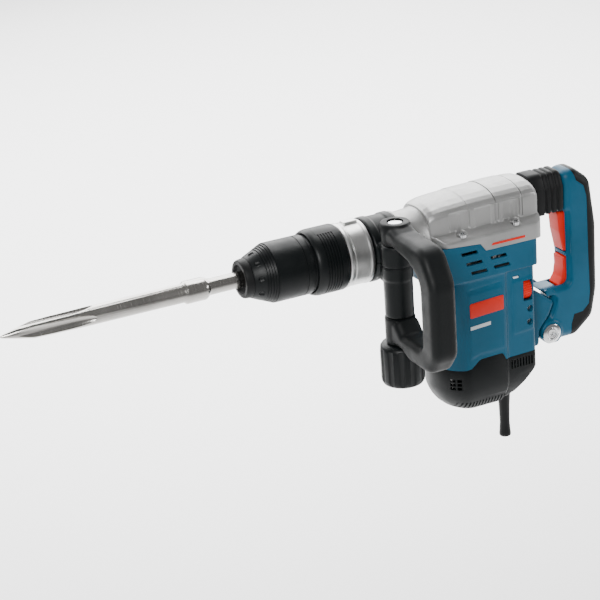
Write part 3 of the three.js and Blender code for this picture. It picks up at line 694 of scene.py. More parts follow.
@dataclass
class Chuck:
    """The chisel and the turned parts round the striking axis."""

    looks: Finishes
    tip: float = -427.0
    flute_count: int = 4
    flute_radius: float = 8.2
    flute_offset: float = 13.4
    sleeve_front: float = -143.0
    cone_end: float = -118.0
    cone_radius: float = 34.0
    ring_radius: float = 38.0

    def build(self) -> None:
        """Builds the chisel, the dust cap, the sleeve, the ring and the flange."""
        self.build_chisel()
        self.build_dust_cap()
        self.build_sleeve()
        self.build_ring()
        self.build_flange()

    def build_chisel(self) -> None:
        """A round shank and collar, and a point with long hollow flutes."""
        profile = [
            (self.tip, 0.0), (self.tip + 0.3, 1.0), (-424, 2.0), (-396, 8.6), (-392, 9.5), (-372, 10.2),
            (-350, 10.4), (-221, 10.4), (-219.2, 11.0), (-218, 12.2), (-217, 12.8), (-196, 12.8),
            (-194, 12.3), (-190, 9.4), (-188, 9.1), (-66, 9.0), (-63, 8.0), (-62.5, 7.0), (-62.5, 0.0),
        ]
        body = spun("point_chisel", Axis.X, profile, steps=64)
        torpedo = [
            (-440, 0.0), (-440, self.flute_radius), (-352, self.flute_radius), (-340, 7.4), (-330, 5.8),
            (-323, 3.4), (-319, 0.0),
        ]
        flutes = spun("flute", Axis.X, torpedo, (0.0, 0.0, self.flute_offset), 40)
        turned_copies(flutes, Axis.X, (0.0, 0.0, 0.0), self.flute_count)
        cut(body, flutes)
        bevelled(body, 0.35, 2, 40)
        finish(body, self.looks.steel, "point_chisel", ["chisel"], 25)

    def build_dust_cap(self) -> None:
        """The rubber lip round the shank."""
        profile = [
            (-152, 16.8), (-152, 20.2), (-151.3, 21.2), (-149.6, 21.9), (-143.5, 22.5), (-143.5, 10.0),
            (-145.2, 9.6), (-146.4, 10.6), (-147.2, 13.2), (-148.4, 15.4), (-150.4, 16.3),
        ]
        finish(spun("rubber_dust_cap", Axis.X, profile), self.looks.rubber, "holder", ["dust_cap"])

    def cone(self, x: float) -> float:
        """The radius of the sleeve's cone at a place along the axis."""
        share = (x - self.sleeve_front - 1.2) / (self.cone_end - self.sleeve_front - 1.2)
        return 23.6 + (self.cone_radius - 23.6) * share

    def build_sleeve(self) -> None:
        """The pull-back sleeve: a cone with fine grooves and shallow dents, and a plain cylinder."""
        grooves = []
        for number in range(5):
            x = -131.0 + 2.7 * number
            deep = self.cone(x) - 0.9
            grooves += [(x, self.cone(x)), (x + 0.4, deep), (x + 1.3, deep + 0.5)]
            grooves += [(x + 1.7, self.cone(x + 1.7))]
        profile = [
            (self.sleeve_front, 21.0), (self.sleeve_front, 22.7), (-141.8, 23.6), *grooves,
            (self.cone_end + 1, 33.9), (-116, 34.0), (-84, 34.0), (-83.6, 33.4), (-83.0, 33.4), (-82.6, 34.0),
            (-75, 34.0), (-74.2, 33.6), (-73.6, 32.9), (-60, 32.9), (-60, 27.0), (-130, 27.0), (-137, 21.0),
        ]
        body = spun("pull_back_sleeve", Axis.X, profile, steps=96)
        dent = spun("dent", Axis.X, [(-143.4, 0.0), (-142, 4.2), (-137.5, 5.6), (-133.4, 3.4), (-132.6, 0.0)],
                    (0.0, 0.0, 29.4), 24)
        turned_copies(dent, Axis.X, (0.0, 0.0, 0.0), 9)
        cut(body, dent)
        finish(body, self.looks.black, "sleeve", ["locking_sleeve"])

    def build_ring(self) -> None:
        """The chisel-angle ring with a grooved band and a smooth pad on top."""
        grooves = []
        radius = self.ring_radius
        for number in range(6):
            x = -61.0 + 3.3 * number
            grooves += [(x, radius), (x + 0.4, radius - 0.9), (x + 1.4, radius - 0.9), (x + 1.8, radius)]
        profile = [
            (-71, 34.4), (-71, 35.3), (-70.2, 36.3), (-67.6, 37.3), (-64.5, 37.9), *grooves,
            (-35.2, radius), (-33.6, 37.4), (-33, 36.4), (-33, 19.8), (-48, 19.8), (-48, 34.4),
        ]
        body = spun("chisel_angle_ring", Axis.X, profile, steps=96)
        pad_outline = [(radius * sin(radians(a)), radius * cos(radians(a))) for a in range(-20, 21, 4)]
        inner = [(u * 0.95, v * 0.95) for u, v in reversed(pad_outline)]
        pad = bevelled(slab("pad", Axis.X, [*pad_outline, *inner], -63.5, -40), 0.5, 2, 50)
        add(body, pad)
        finish(body, self.looks.black, "ring", ["angle_ring"])

    def build_flange(self) -> None:
        """The silver front flange with two beads, a turned groove and a lug on top."""
        profile = [
            (-32.5, 24.6), (-32.5, 35.7), (-31.9, 36.6), (-30.6, 37.0), (-28.2, 37.0), (-27.2, 36.5),
            (-26.2, 36.4), (-25.6, 35.8), (-25.0, 35.8), (-24.6, 36.3), (-7.6, 36.3), (-6.6, 36.6),
            (-5.6, 37.0), (-3.4, 37.0), (-2.5, 36.6), (-2, 35.8), (-2, 20.6), (-20, 20.6), (-20, 24.6),
        ]
        body = spun("silver_front_flange", Axis.X, profile, steps=96)
        lug_outline = rounded([(-7, 33), (7, 33), (5.2, 39.3, 2.0), (-5.2, 39.3, 2.0)], 4)
        lug = slab("lug", Axis.X, lug_outline, -23.5, -6.5)
        add(body, bevelled(lug, 1.2, 3, 50))
        finish(body, self.looks.flange, "machine", ["front_flange"])


# ---------------------------------------------------------------- gear casing

PARTING: Outline = [(40, -4), (86, -4), (127, -7.5), (134, -17), (260, -17.6)]


@dataclass
class GearCasing:
    """The cast aluminium casing over the percussion mechanism."""

    looks: Finishes
    rear: float = 211.5
    width: float = 46.3
    wall: float = 35.4
    crown: float = 46.3
    base: float = -24.0
    screw_places: tuple[float, ...] = (107.5, 177.5)
    screw_seat: float = 3.5
    screw_side: float = 40.5
    roof_lines: tuple[float, ...] = (119.0, 155.0, 190.0)
    dome: tuple[tuple[float, float], ...] = (
        (70.5, 0.86), (73, 0.888), (77, 0.915), (84, 0.937), (94, 0.951), (104, 0.959), (118.6, 0.968),
        (119.4, 0.979), (136, 0.985), (154.6, 0.989), (155.4, 0.998), (172, 1.0), (189, 1.0), (190.6, 0.99),
        (202, 0.99), (207.5, 0.978), (210.5, 0.955), (211.5, 0.935),
    )

    def build(self) -> None:
        """Builds the casting and its screws."""
        self.build_casting()
        self.build_screws()

    def arch(self, swell: float = 0.0) -> Outline:
        """The section of the walls and the roof.

        Args:
            swell: How far the outline is pushed out.

        Returns:
            The outline as (y, z) points.
        """
        wall, crown = self.wall + swell, self.crown + swell
        half = [
            (wall, self.base), (wall, 32.0), (wall - 0.9, 35.0 + swell), (wall - 4.0, 38.6 + swell),
            (wall - 9.5, 41.9 + swell), (wall - 18.5, 44.8 + swell), (wall - 27.0, 45.9 + swell),
        ]
        return [*half, (0, crown), *[(-u, v) for u, v in reversed(half)]]

    def side(self) -> Outline:
        """The outline of the casting from the side, down to the parting line."""
        return [*PARTING[1:4], (self.rear, -17.5), (self.rear, 60), (70, 60), (70, -4)]

    def build_casting(self) -> None:
        """The domed roof, the ledge over the parting line, the panels, the pockets and the neck."""
        roof = tapered("cast_gear_casing", Axis.X, self.arch(), list(self.dome), (0.0, self.base))
        ledge_half = [(self.width, -30), (self.width, 0.4), (45.6, 1.7), (35.6, 8.3), (30, 9.5)]
        ledge_outline = [*ledge_half, *[(-u, v) for u, v in reversed(ledge_half)]]
        ledge = slab("ledge", Axis.X, ledge_outline, 60, self.rear)
        plan = rounded([
            (70, -30, 14), (84, -self.width, 12), (self.rear, -self.width, 12), (self.rear, self.width, 12),
            (84, self.width, 12), (70, 30, 14),
        ])
        keep(ledge, slab("plan", Axis.Z, plan, -40, 60))
        add(roof, ledge)
        self.cut_panels(roof)
        moulded(roof, 0.8, 3)
        keep(roof, slab("side", Axis.Y, self.side(), -60, 60))
        self.cut_roof_lines(roof)
        neck = [
            (-1.5, 24.3), (-1.5, 30.6), (-0.9, 31.0), (39, 31.0), (39, 35.7), (39.5, 36.2), (41.5, 36.2),
            (42, 35.7), (42.3, 34.2), (52, 34.4), (68.6, 35.8), (69.3, 35.4), (69.6, 34.8), (71, 34.8),
            (72, 24.3),
        ]
        add(roof, spun("neck", Axis.X, neck, steps=96))
        cut(roof, rod(Axis.X, 24.3, -10, 140, (0, 0, 0), 64), block((131, -30, -60), (202, 30, 35)))
        finish(roof, self.looks.casting, "machine", ["gear_housing"], 40)

    def cut_panels(self, casting: bpy.types.Object) -> None:
        """Sinks the side panels between the ribs, and the half-round screw pockets."""
        for start, end, depth in ((95, 121, 3.0), (127, 149.5, 1.7), (154, 159, 2.2), (164.5, 187, 3.0)):
            cutter = bevelled(block((start, self.wall - depth, 9.0), (end, 60, 32.0)), 0.8, 3)
            cut(casting, mirrored(cutter))
        for x in self.screw_places:
            pocket = [(self.screw_seat, 0.0), (self.screw_seat, 6.2), (27, 6.2), (32, 5.0), (36.5, 0.0)]
            cutter = spun("pocket", Axis.Z, pocket, (x, self.screw_side - 2.6, 0), 32)
            cut(casting, mirrored(cutter))

    def cut_roof_lines(self, casting: bpy.types.Object) -> None:
        """Cuts a fine groove over the roof at each joint of the casting's form."""
        for x in self.roof_lines:
            groove = slab("groove", Axis.X, self.arch(6.0), x - 0.65, x + 0.65)
            cut(groove, slab("core", Axis.X, self.arch(-1.5), x - 2, x + 2))
            cut(groove, block((x - 5, -60, -60), (x + 5, 60, 10.0)))
            cut(casting, groove)

    def build_screws(self) -> None:
        """The four socket screws in the pockets."""
        number = 1
        for x in self.screw_places:
            for side in (1, -1):
                place = (x, side * self.screw_side, self.screw_seat)
                profile = [(-18, 0), (-18, 2.4), (0, 2.4), (0, 4.4), (3.4, 4.6), (4.2, 4.0), (4.3, 0)]
                head = spun(f"case_screw_head_{number}", Axis.Z, profile, place, 32)
                hexagon = shifted(toothed(6, 1.7, 2.5, 0.7, 0.35), x, place[1])
                socket = slab("socket", Axis.Z, hexagon, self.screw_seat + 2.0, 14)
                finish(cut(head, socket), self.looks.chrome, "machine", [f"case_screw_{number}"])
                number += 1


# ---------------------------------------------------------------- motor casing


MOTOR_FRONT_CENTRE = 112.0
MOTOR_FRONT_DEPTH = 32.0
MOTOR_WIDTH = 45.0
MOTOR_STEP = 162.5
MOTOR_REAR = 201.0
MOTOR_REAR_WIDTH = 41.0

# The line between the blue casing and the cap, from front to rear, and what lies below it.
CAP_LINE: Outline = [
    (40, -160), (104, -160.4), (110, -159), (120, -151), (124, -149.6), (150, -149), (153, -150.4),
    (156.5, -158), (163, -159), (MOTOR_REAR + 0.5, -158.2),
]
BELOW_CAP_LINE: Outline = [(MOTOR_REAR + 0.5, -300), (40, -300)]


def motor_section(inset: float = 0.0) -> Outline:
    """The plan of the motor part: a round front, flat sides and a narrower rear.

    Args:
        inset: How far the outline is drawn in.

    Returns:
        The outline as (x, y) points.
    """
    steps = 28
    angles = [pi / 2 + pi * k / steps for k in range(steps + 1)]
    depth, width = MOTOR_FRONT_DEPTH - inset, MOTOR_WIDTH - inset
    front = [(MOTOR_FRONT_CENTRE + depth * cos(a), width * sin(a)) for a in angles]
    rear_width = MOTOR_REAR_WIDTH - inset
    side = [
        (MOTOR_STEP - 4.5, width), (MOTOR_STEP, rear_width), (MOTOR_REAR - 4.5 - inset / 2, rear_width),
        (MOTOR_REAR - 1.4 - inset, rear_width - 1.4), (MOTOR_REAR - inset, rear_width - 4.5),
    ]
    return [*front, *[(x, -y) for x, y in side], *reversed(side)]


@dataclass
class MotorCasing:
    """The blue motor casing with its vents, controls, badge and black cap."""

    looks: Finishes
    wall: float = 3.0
    vents: tuple[tuple[float, float], ...] = ((101, -16), (107, -29), (113, -41), (139, -28), (143, -40))
    vent_length: float = 21.0
    vent_height: float = 4.4
    vent_slant: float = 2.0
    side_screws: tuple[tuple[float, float], ...] = ((193, -104), (192.3, -120.5))
    cable_x: float = 178.0
    pivot: tuple[float, float, float] = (234.3, 0.0, -153.2)
    dial_centre: tuple[float, float] = (-28.5, -80.5)

    def build(self) -> None:
        """Builds the casing, its fittings, the cap and the cable sleeve."""
        self.build_shell()
        self.build_fittings()
        self.build_cap()
        self.build_cable_sleeve()

    def upper_plan(self, inset: float) -> Outline:
        """The plan of the wide upper part."""
        return rounded([
            (54 + inset, -34 + inset, 16), (80 + inset, -46 + inset, 12), (204 - inset, -46 + inset, 7),
            (204 - inset, 46 - inset, 7), (80 + inset, 46 - inset, 12), (54 + inset, 34 - inset, 16),
        ])

    def upper_side(self, inset: float, rise: float) -> Outline:
        """The side outline of the wide upper part, under the parting line."""
        top = [(x, z - CLEAR + rise) for x, z in reversed(PARTING)]
        return [*top, (40, -34), (56, -41 + inset), (66, -46 + inset), (86, -50 + inset), (260, -50 + inset)]

    def bracket(self) -> bpy.types.Object:
        """The rear bracket that carries the handle's pivot."""
        outline = rounded([
            (192, -94), (214.5, -94, 5), (239.5, -114, 5), (232, -130, 7), (218.5, -146, 9),
            (217.5, -165.3, 4), (203.2, -165.3, 3), (202, -157), (192, -157),
        ])
        plate = bevelled(slab("bracket", Axis.Y, outline, -20.5, 20.5), 2.5, 4, 60)
        tongue = rod(Axis.Y, 12.8, -10.4, 10.4, self.pivot, 48)
        arm = block((205, -10.4, -160), (self.pivot[0], 10.4, -146))
        return add(plate, add(tongue, arm))

    def build_shell(self) -> None:
        """The blue casing, melted to a moulded skin and then cut."""
        upper = slab("blue_motor_casing", Axis.Y, self.upper_side(0, 8), -60, 60)
        keep(upper, slab("plan", Axis.Z, self.upper_plan(0), -90, 30))
        lower = slab("lower", Axis.Z, motor_section(), -166, -40)
        add(upper, lower)
        add(upper, self.bracket())
        self.shape_sides(upper)
        moulded(upper, 1.15, 5)
        cut(upper, slab("below", Axis.Y, [*CAP_LINE, *BELOW_CAP_LINE], -60, 60))
        top = [(x, z - CLEAR) for x, z in PARTING]
        cut(upper, slab("above", Axis.Y, [*top, (260, 90), (40, 90)], -60, 60))
        self.cut_openings(upper)
        finish(upper, self.looks.blue, "machine", ["motor_housing"], 40)

    def shape_sides(self, casing: bpy.types.Object) -> None:
        """Raises the label field and the front rib, and sinks the panel lines."""
        field_outline = rounded([
            (109, -67), (152, -64.5), (156, -70, 2), (156, -143, 3), (120, -143, 8), (109, -147),
        ], 4)
        panel = bevelled(slab("field", Axis.Y, field_outline, 44.2, 45.6), 0.6, 2, 50)
        add(casing, mirrored(panel))
        line = slab("line", Axis.Y, [(84, -63.2), (200, -55.6), (200, -57.0), (84, -64.8)], 44.2, 60)
        cut(casing, mirrored(line))
        pad_outline = rounded([(170, -66, 2), (198, -64, 2), (197, -130, 3), (170, -132, 3)], 3)
        pad = slab("pad", Axis.Y, pad_outline, 40, 41.7)
        add(casing, mirrored(bevelled(pad, 0.6, 2, 50)))

    def cut_openings(self, casing: bpy.types.Object) -> None:
        """Cuts the hollow, the neck's saddle, the vents, the dial slot and the screw holes."""
        hollow = slab("hollow", Axis.Y, self.upper_side(self.wall, 60), -60, 60)
        keep(hollow, slab("plan", Axis.Z, self.upper_plan(self.wall), -90, 60))
        add(hollow, slab("inner", Axis.Z, motor_section(self.wall), -170, -44))
        cut(casing, hollow)
        cut(casing, rod(Axis.X, 36.6, 20, 73, (0, 0, 0), 96))
        for x, z in self.vents:
            cut(casing, mirrored(slab("vent", Axis.Y, self.vent(x, z), 40, 60)))
        cut(casing, block((184.3, -50, -93.2), (196.3, -30, -67.8)))
        cut(casing, block((171, -60, -62.5), (179, -37, -59.5)))
        for x, z in self.side_screws:
            add(casing, rod(Axis.Y, 6.5, -39.5, -27, (x, 0, z)))
            cut(casing, rod(Axis.Y, 4.0, -50, -34, (x, 0, z)), rod(Axis.Y, 2.3, -40, -20, (x, 0, z), 16))
        cut(casing, rod(Axis.Y, 5.3, -30, 30, self.pivot))

    def vent(self, x: float, z: float) -> Outline:
        """The outline of a cooling slot with slanted ends.

        Args:
            x: Its front end.
            z: Its middle height.

        Returns:
            The outline as (x, z) points.
        """
        low, high = z - self.vent_height / 2, z + self.vent_height / 2
        rear, slant, corner = x + self.vent_length, self.vent_slant, 0.8
        return rounded([
            (x + slant, low, corner), (rear + slant, low, corner), (rear, high, corner), (x, high, corner),
        ], 3)

    def build_fittings(self) -> None:
        """The thumbwheel, lamp and recessed screws, and the plain marks."""
        self.build_dial_and_lamp()
        self.build_side_screws()
        self.build_marks()

    def build_dial_and_lamp(self) -> None:
        """The red speed thumbwheel on its axle, and the small lamp above it."""
        y, z = self.dial_centre
        wheel = shifted(toothed(30, 13.3, 14.2, 0.62, 0.3), y, z)
        dial = bevelled(slab("speed_thumbwheel", Axis.X, wheel, 185.0, 195.6), 0.4, 2, 60)
        add(dial, rod(Axis.X, 2.4, 182.4, 196.8, (0, y, z), 16))
        finish(dial, self.looks.red, "dial", ["speed_dial"], 25)
        lens_outline = [(171.6, -41.9), (178.4, -41.9), (178.4, -37.4), (171.6, -37.4)]
        lens = bevelled(slab("status_lens", Axis.Z, lens_outline, -62.1, -59.9), 0.7, 3)
        finish(lens, self.looks.lamp, "machine", ["status_lamp"])

    def build_side_screws(self) -> None:
        """The two socket screws sunk in the side of the casing."""
        for number, (x, z) in enumerate(self.side_screws, start=1):
            profile = [(-37.3, 0), (-37.4, 3.0), (-36.8, 3.6), (-34.4, 3.6), (-34.4, 1.9), (-24, 1.9)]
            profile += [(-24, 0)]
            screw = spun(f"recessed_screw_{number}", Axis.Y, profile, (x, 0, z), 32)
            cut(screw, slab("socket", Axis.Y, shifted(toothed(6, 1.2, 1.9, 0.7, 0.35), x, z), -40, -36))
            finish(screw, self.looks.hidden_steel, "machine", [f"side_screw_{number}"])

    def build_marks(self) -> None:
        """The plain red badge, the pale bar and the red strip."""
        badge_outline = rounded([(110, -96, 2), (155, -94, 2), (155, -76, 2), (110, -78, 2)], 4)
        badge = slab("plain_red_badge", Axis.Y, badge_outline, -46.1, -45.4)
        finish(bevelled(badge, 0.3, 2, 50), self.looks.red, "machine")
        bar_outline = [(110, -110.5), (137, -109.2), (137, -104.8), (110, -106.2)]
        bar = slab("plain_pale_bar", Axis.Y, bar_outline, -45.95, -45.4)
        finish(bevelled(bar, 0.2, 1, 50), self.looks.pale, "machine")
        strip_outline = [(141, -12.6), (186, -12.6), (186, -9.8), (143, -9.8)]
        strip = slab("plain_red_strip", Axis.Y, strip_outline, -46.75, -46.2)
        finish(bevelled(strip, 0.2, 1, 50), self.looks.red, "machine")

    def cap_form(self, inset: float) -> bpy.types.Object:
        """The cap's closed form, drawn in by an inset: a rounded bottom that rises to the rear."""
        bottom = [
            (-187.0, 1.0), (-193.0, 0.982), (-199.0, 0.947), (-205.0, 0.895), (-210.0, 0.83),
            (-214.0, 0.755), (-216.4, 0.68), (-217.0, 0.62),
        ]
        rows = [(-145.0, 1.0), *[(z + inset, share) for z, share in bottom]]
        cap = tapered("black_motor_cap", Axis.Z, motor_section(inset), rows, (140.0, 0.0))
        lift = 1.3 * inset
        rising = [(240, -140), (202, -176), (183, -195.5), (172, -205), (160, -211.8), (146, -218)]
        side = [(40, -120), (240, -120), *[(x, z + lift) for x, z in rising], (40, -218 + lift)]
        return keep(cap, slab("side", Axis.Y, side, -60, 60))

    def build_cap(self) -> None:
        """The black cap, its vents, its grid and the ribs round its rim."""
        cap = self.cap_form(0.0)
        below = [(x, z - CLEAR) for x, z in CAP_LINE]
        keep(cap, slab("below", Axis.Y, [*below, *BELOW_CAP_LINE], -60, 60))
        bevelled(cap, 0.8, 2, 40)
        cut(cap, self.cap_form(self.wall))
        rear_places = [165.5 + 3.9 * k for k in range(8)]
        rear = row_of(lambda x: block((x, 30, -174.5), (x + 2.0, 60, -163.5)), rear_places)
        cut(cap, mirrored(rear))
        rim_places = [96 + 4.2 * k for k in range(16)]
        rim = row_of(lambda x: block((x, 18, -213.5), (x + 1.8, 60, -203.5)), rim_places)
        cut(cap, mirrored(rim))
        grid = row_of(self.grid_hole, range(6))
        cut(cap, mirrored(grid))
        cut(cap, rod(Axis.Z, 9.3, -230, -180, (self.cable_x, 0, 0), 48))
        profile = [
            (-215.5, 6.0), (-215.5, 15.0), (-170, 15.0), (-170, 11.3), (-179.5, 11.3), (-179.5, 6.0),
        ]
        seat = spun("seat", Axis.Z, profile, (125, 0, 0), 48)
        add(cap, seat)
        finish(cap, self.looks.black, "machine", ["motor_cap"], 35)

    def grid_hole(self, number: int) -> bpy.types.Object:
        """One of the six square holes at the front of the cap."""
        x = 88.5 + 5.6 * (number % 2)
        z = -185.0 + 5.0 * (number // 2)
        return block((x, 20, z), (x + 4.4, 60, z + 3.6))

    def build_cable_sleeve(self) -> None:
        """The tapered rubber sleeve that guides the supply cable out."""
        profile = [
            (-280, 4.2), (-280, 6.4), (-279, 7.1), (-276.5, 7.2), (-274, 6.8), (-262, 6.0), (-240, 6.6),
            (-226, 7.6), (-218, 8.7), (-186, 8.9), (-186, 4.2),
        ]
        sleeve = spun("rubber_cable_sleeve", Axis.Z, profile, (self.cable_x, 0, 0), 48)
        plug = rod(Axis.Z, 12, -208, -184, (self.cable_x, 0, 0), 48)
        keep(plug, self.cap_form(self.wall + CLEAR))
        cut(plug, rod(Axis.Z, 6.0, -230, -150, (self.cable_x, 0, 0), 32))
        add(sleeve, plug)
        collar = rod(Axis.Z, 10.6, -214, -184, (self.cable_x, 0, 0), 48)
        hollow = rod(Axis.Z, 7.0, -230, -150, (self.cable_x, 0, 0), 32)
        cut(collar, self.cap_form(-CLEAR / 2), hollow)
        add(sleeve, bevelled(collar, 0.8, 2, 40))
        finish(sleeve, self.looks.rubber, "machine", ["cable_sleeve"], 40)


# ---------------------------------------------------------------- rear handle


@dataclass
class RearHandle:
    """The sprung D-shaped handle with its rubber back, rocker switch, pivot and bellows."""

    looks: Finishes
    pivot: tuple[float, float] = (234.3, -153.2)
    washer: float = 12.2
    paddle_half_width: float = 11.0
    half_width: float = 19.5
    lug_half_width: float = 21.5

    def build(self) -> None:
        """Builds the handle's shells, rubber, paddles, pivot and bellows."""
        self.build_grip()
        self.build_paddles()
        self.build_pivot()
        self.build_bellows()

    def outline(self) -> Outline:
        """The handle seen from the side."""
        return rounded([
            (256.5, 43.5), (276, 43, 8), (296, 27, 20), (303.5, -30, 30), (303.5, -112, 26), (297, -146, 18),
            (272, -166.5, 14), (230, -166.5, 8), (220.5, -158, 6), (221.5, -145, 6), (235.5, -129.5, 6),
            (242, -112.2, 5), (226, -99.5, 1.5), (225, -97.5, 1), (262, -97.5, 8), (261.5, -60),
            (260.5, -8, 3), (256.5, -5, 2),
        ], 8)

    def rubber_edge(self, shift: float) -> Outline:
        """The line between the blue shells and the rubber back, from top to bottom."""
        edge = [
            (264, 62), (274, 30), (284, 22), (288, 8), (289, -60), (290.5, -112), (289, -128), (280, -136),
            (268, -137), (264, -149), (263, -190),
        ]
        return [(x + shift, z) for x, z in edge]

    def form(self) -> bpy.types.Object:
        """The whole grip as one soft form."""
        grip = slab("grip", Axis.Y, self.outline(), -self.half_width, self.half_width)
        soft_edged(grip, 11.0, 1.2)
        lug = slab("lug", Axis.Y, self.outline(), -60, 60)
        end = self.lug_half_width
        disc = [(-end, 0), (-end, 15), (-16, 18), (16, 18), (end, 15), (end, 0)]
        keep(lug, spun("disc", Axis.Y, disc, (self.pivot[0], 0, self.pivot[1]), 64))
        add(grip, lug)
        return moulded(grip, 1.2, 8)

    def build_grip(self) -> None:
        """Splits the form into the blue shells and the ribbed rubber back."""
        whole = self.form()
        back = copied(whole, "rubber_grip_back")
        keep(back, slab("back", Axis.Y, [*self.rubber_edge(0.0), (BIG, -190), (BIG, 62)], -60, 60))
        grooves = row_of(
            lambda z: slab("groove", Axis.Y, [(302.6, z), (305.5, z - 1.2), (305.5, z + 1.2)], -13, 13),
            [-34 - 7 * k for k in range(11)],
        )
        cut(back, grooves)
        finish(back, self.looks.soft, "rear_handle", ["handle_rubber"], 40)

        shells = whole
        shells.name = "blue_handle_shells"
        shells.data.name = shells.name
        keep(shells, slab("front", Axis.Y, [*self.rubber_edge(-0.35), (100, -190), (100, 62)], -60, 60))
        x, z = self.pivot
        half = self.paddle_half_width + 0.8
        rooms = [
            block((246, -half, -107), (274.5, half, 6)),
            block((266, -15, -104), (284.5, 15, 8)),
            rod(Axis.Y, 15, -11.5, 11.5, (x, 0, z), 48),
            block((200, -11.5, -170), (x, 11.5, -137)),
        ]
        cut(shells, *rooms)
        add(shells, bevelled(block((262, -13, -64.2), (267, 13, -59.6)), 0.8, 2))
        cut(shells, rod(Axis.Y, 5.3, -40, 40, (x, 0, z)))
        cut(shells, mirrored(rod(Axis.Y, self.washer + 0.3, 19.6, 40, (x, 0, z), 64)))
        nodes = ["handle_shell_left", "handle_shell_right"]
        finish(shells, self.looks.blue, "rear_handle", nodes, 40)

    def build_paddles(self) -> None:
        """The two red paddles of the rocker switch."""
        half = self.paddle_half_width
        upper = rounded([(252.5, -6.8, 3), (254.5, -32, 12), (260, -57.5, 2), (268, -57.5), (268, -6.8)], 6)
        on_paddle = bevelled(slab("red_on_paddle", Axis.Y, upper, -half, half), 3.0, 5, 50)
        finish(on_paddle, self.looks.red, "rocker", ["on_paddle"], 40)
        lower = rounded([
            (259, -65.4, 2), (268, -65.4), (268, -103), (262, -105, 4), (254, -104.5, 3), (251.8, -99.5, 3),
            (257.5, -90, 8), (259.5, -78),
        ], 6)
        off_paddle = bevelled(slab("red_off_paddle", Axis.Y, lower, -half, half), 3.0, 5, 50)
        finish(off_paddle, self.looks.red, "rocker", ["off_paddle"], 40)

    def build_pivot(self) -> None:
        """The bright pivot bolt and the nut on its far end."""
        x, z = self.pivot
        bolt = [
            (-22.6, 0), (-22.6, 3.9), (-23.2, 4.3), (-23.2, 5.3), (-22.0, 5.7), (-21.6, 6.6), (-22.0, 7.4),
            (-23.5, 8.2), (-23.3, 9.8), (-22.2, 11.9), (-21.6, 12.2), (-20.1, 12.2), (-20.1, 5.0),
            (20.5, 5.0), (20.5, 0),
        ]
        pin = spun("bright_pivot_bolt", Axis.Y, bolt, (x, 0, z), 64)
        cut(pin, slab("socket", Axis.Y, shifted(toothed(6, 2.0, 3.2, 0.7, 0.35), x, z), -24, -20.5))
        finish(pin, self.looks.chrome, "machine", ["pivot_bolt"])
        washer = [(19.9, 5.3), (19.9, 12.2), (22.0, 12.2), (23.0, 11.0), (23.0, 5.9), (22.6, 5.3)]
        nut = spun("bright_pivot_nut", Axis.Y, washer, (x, 0, z), 64)
        finish(nut, self.looks.chrome, "machine", ["pivot_nut"])

    def build_bellows(self) -> None:
        """The rubber bellows between the casing and the handle."""
        outline = rounded([
            (-21, -4, 4), (21, -4, 4), (21, 28, 9), (13, 45.5, 10), (-13, 45.5, 10), (-21, 28, 9),
        ], 5)
        rows = [(212.0, 1.0), (229.5, 1.0), (230.5, 0.9)]
        for number in range(3):
            start = 232.5 + 7.8 * number
            rows += [(start, 0.9), (start + 1.2, 0.985), (start + 5.0, 0.985), (start + 6.2, 0.9)]
        rows[-1] = (256.0, 0.9)
        form = tapered("rubber_bellows", Axis.X, outline, rows, (0.0, 21.0))
        bevelled(form, 0.7, 2, 25)
        inner = tapered("inner", Axis.X, outline, [(200.0, 0.78), (262.0, 0.78)], (0.0, 21.0))
        cut(form, inner)
        shaded(form, self.looks.rubber, 40)
        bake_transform(form)
        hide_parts("bellows")


# ---------------------------------------------------------------- side handle


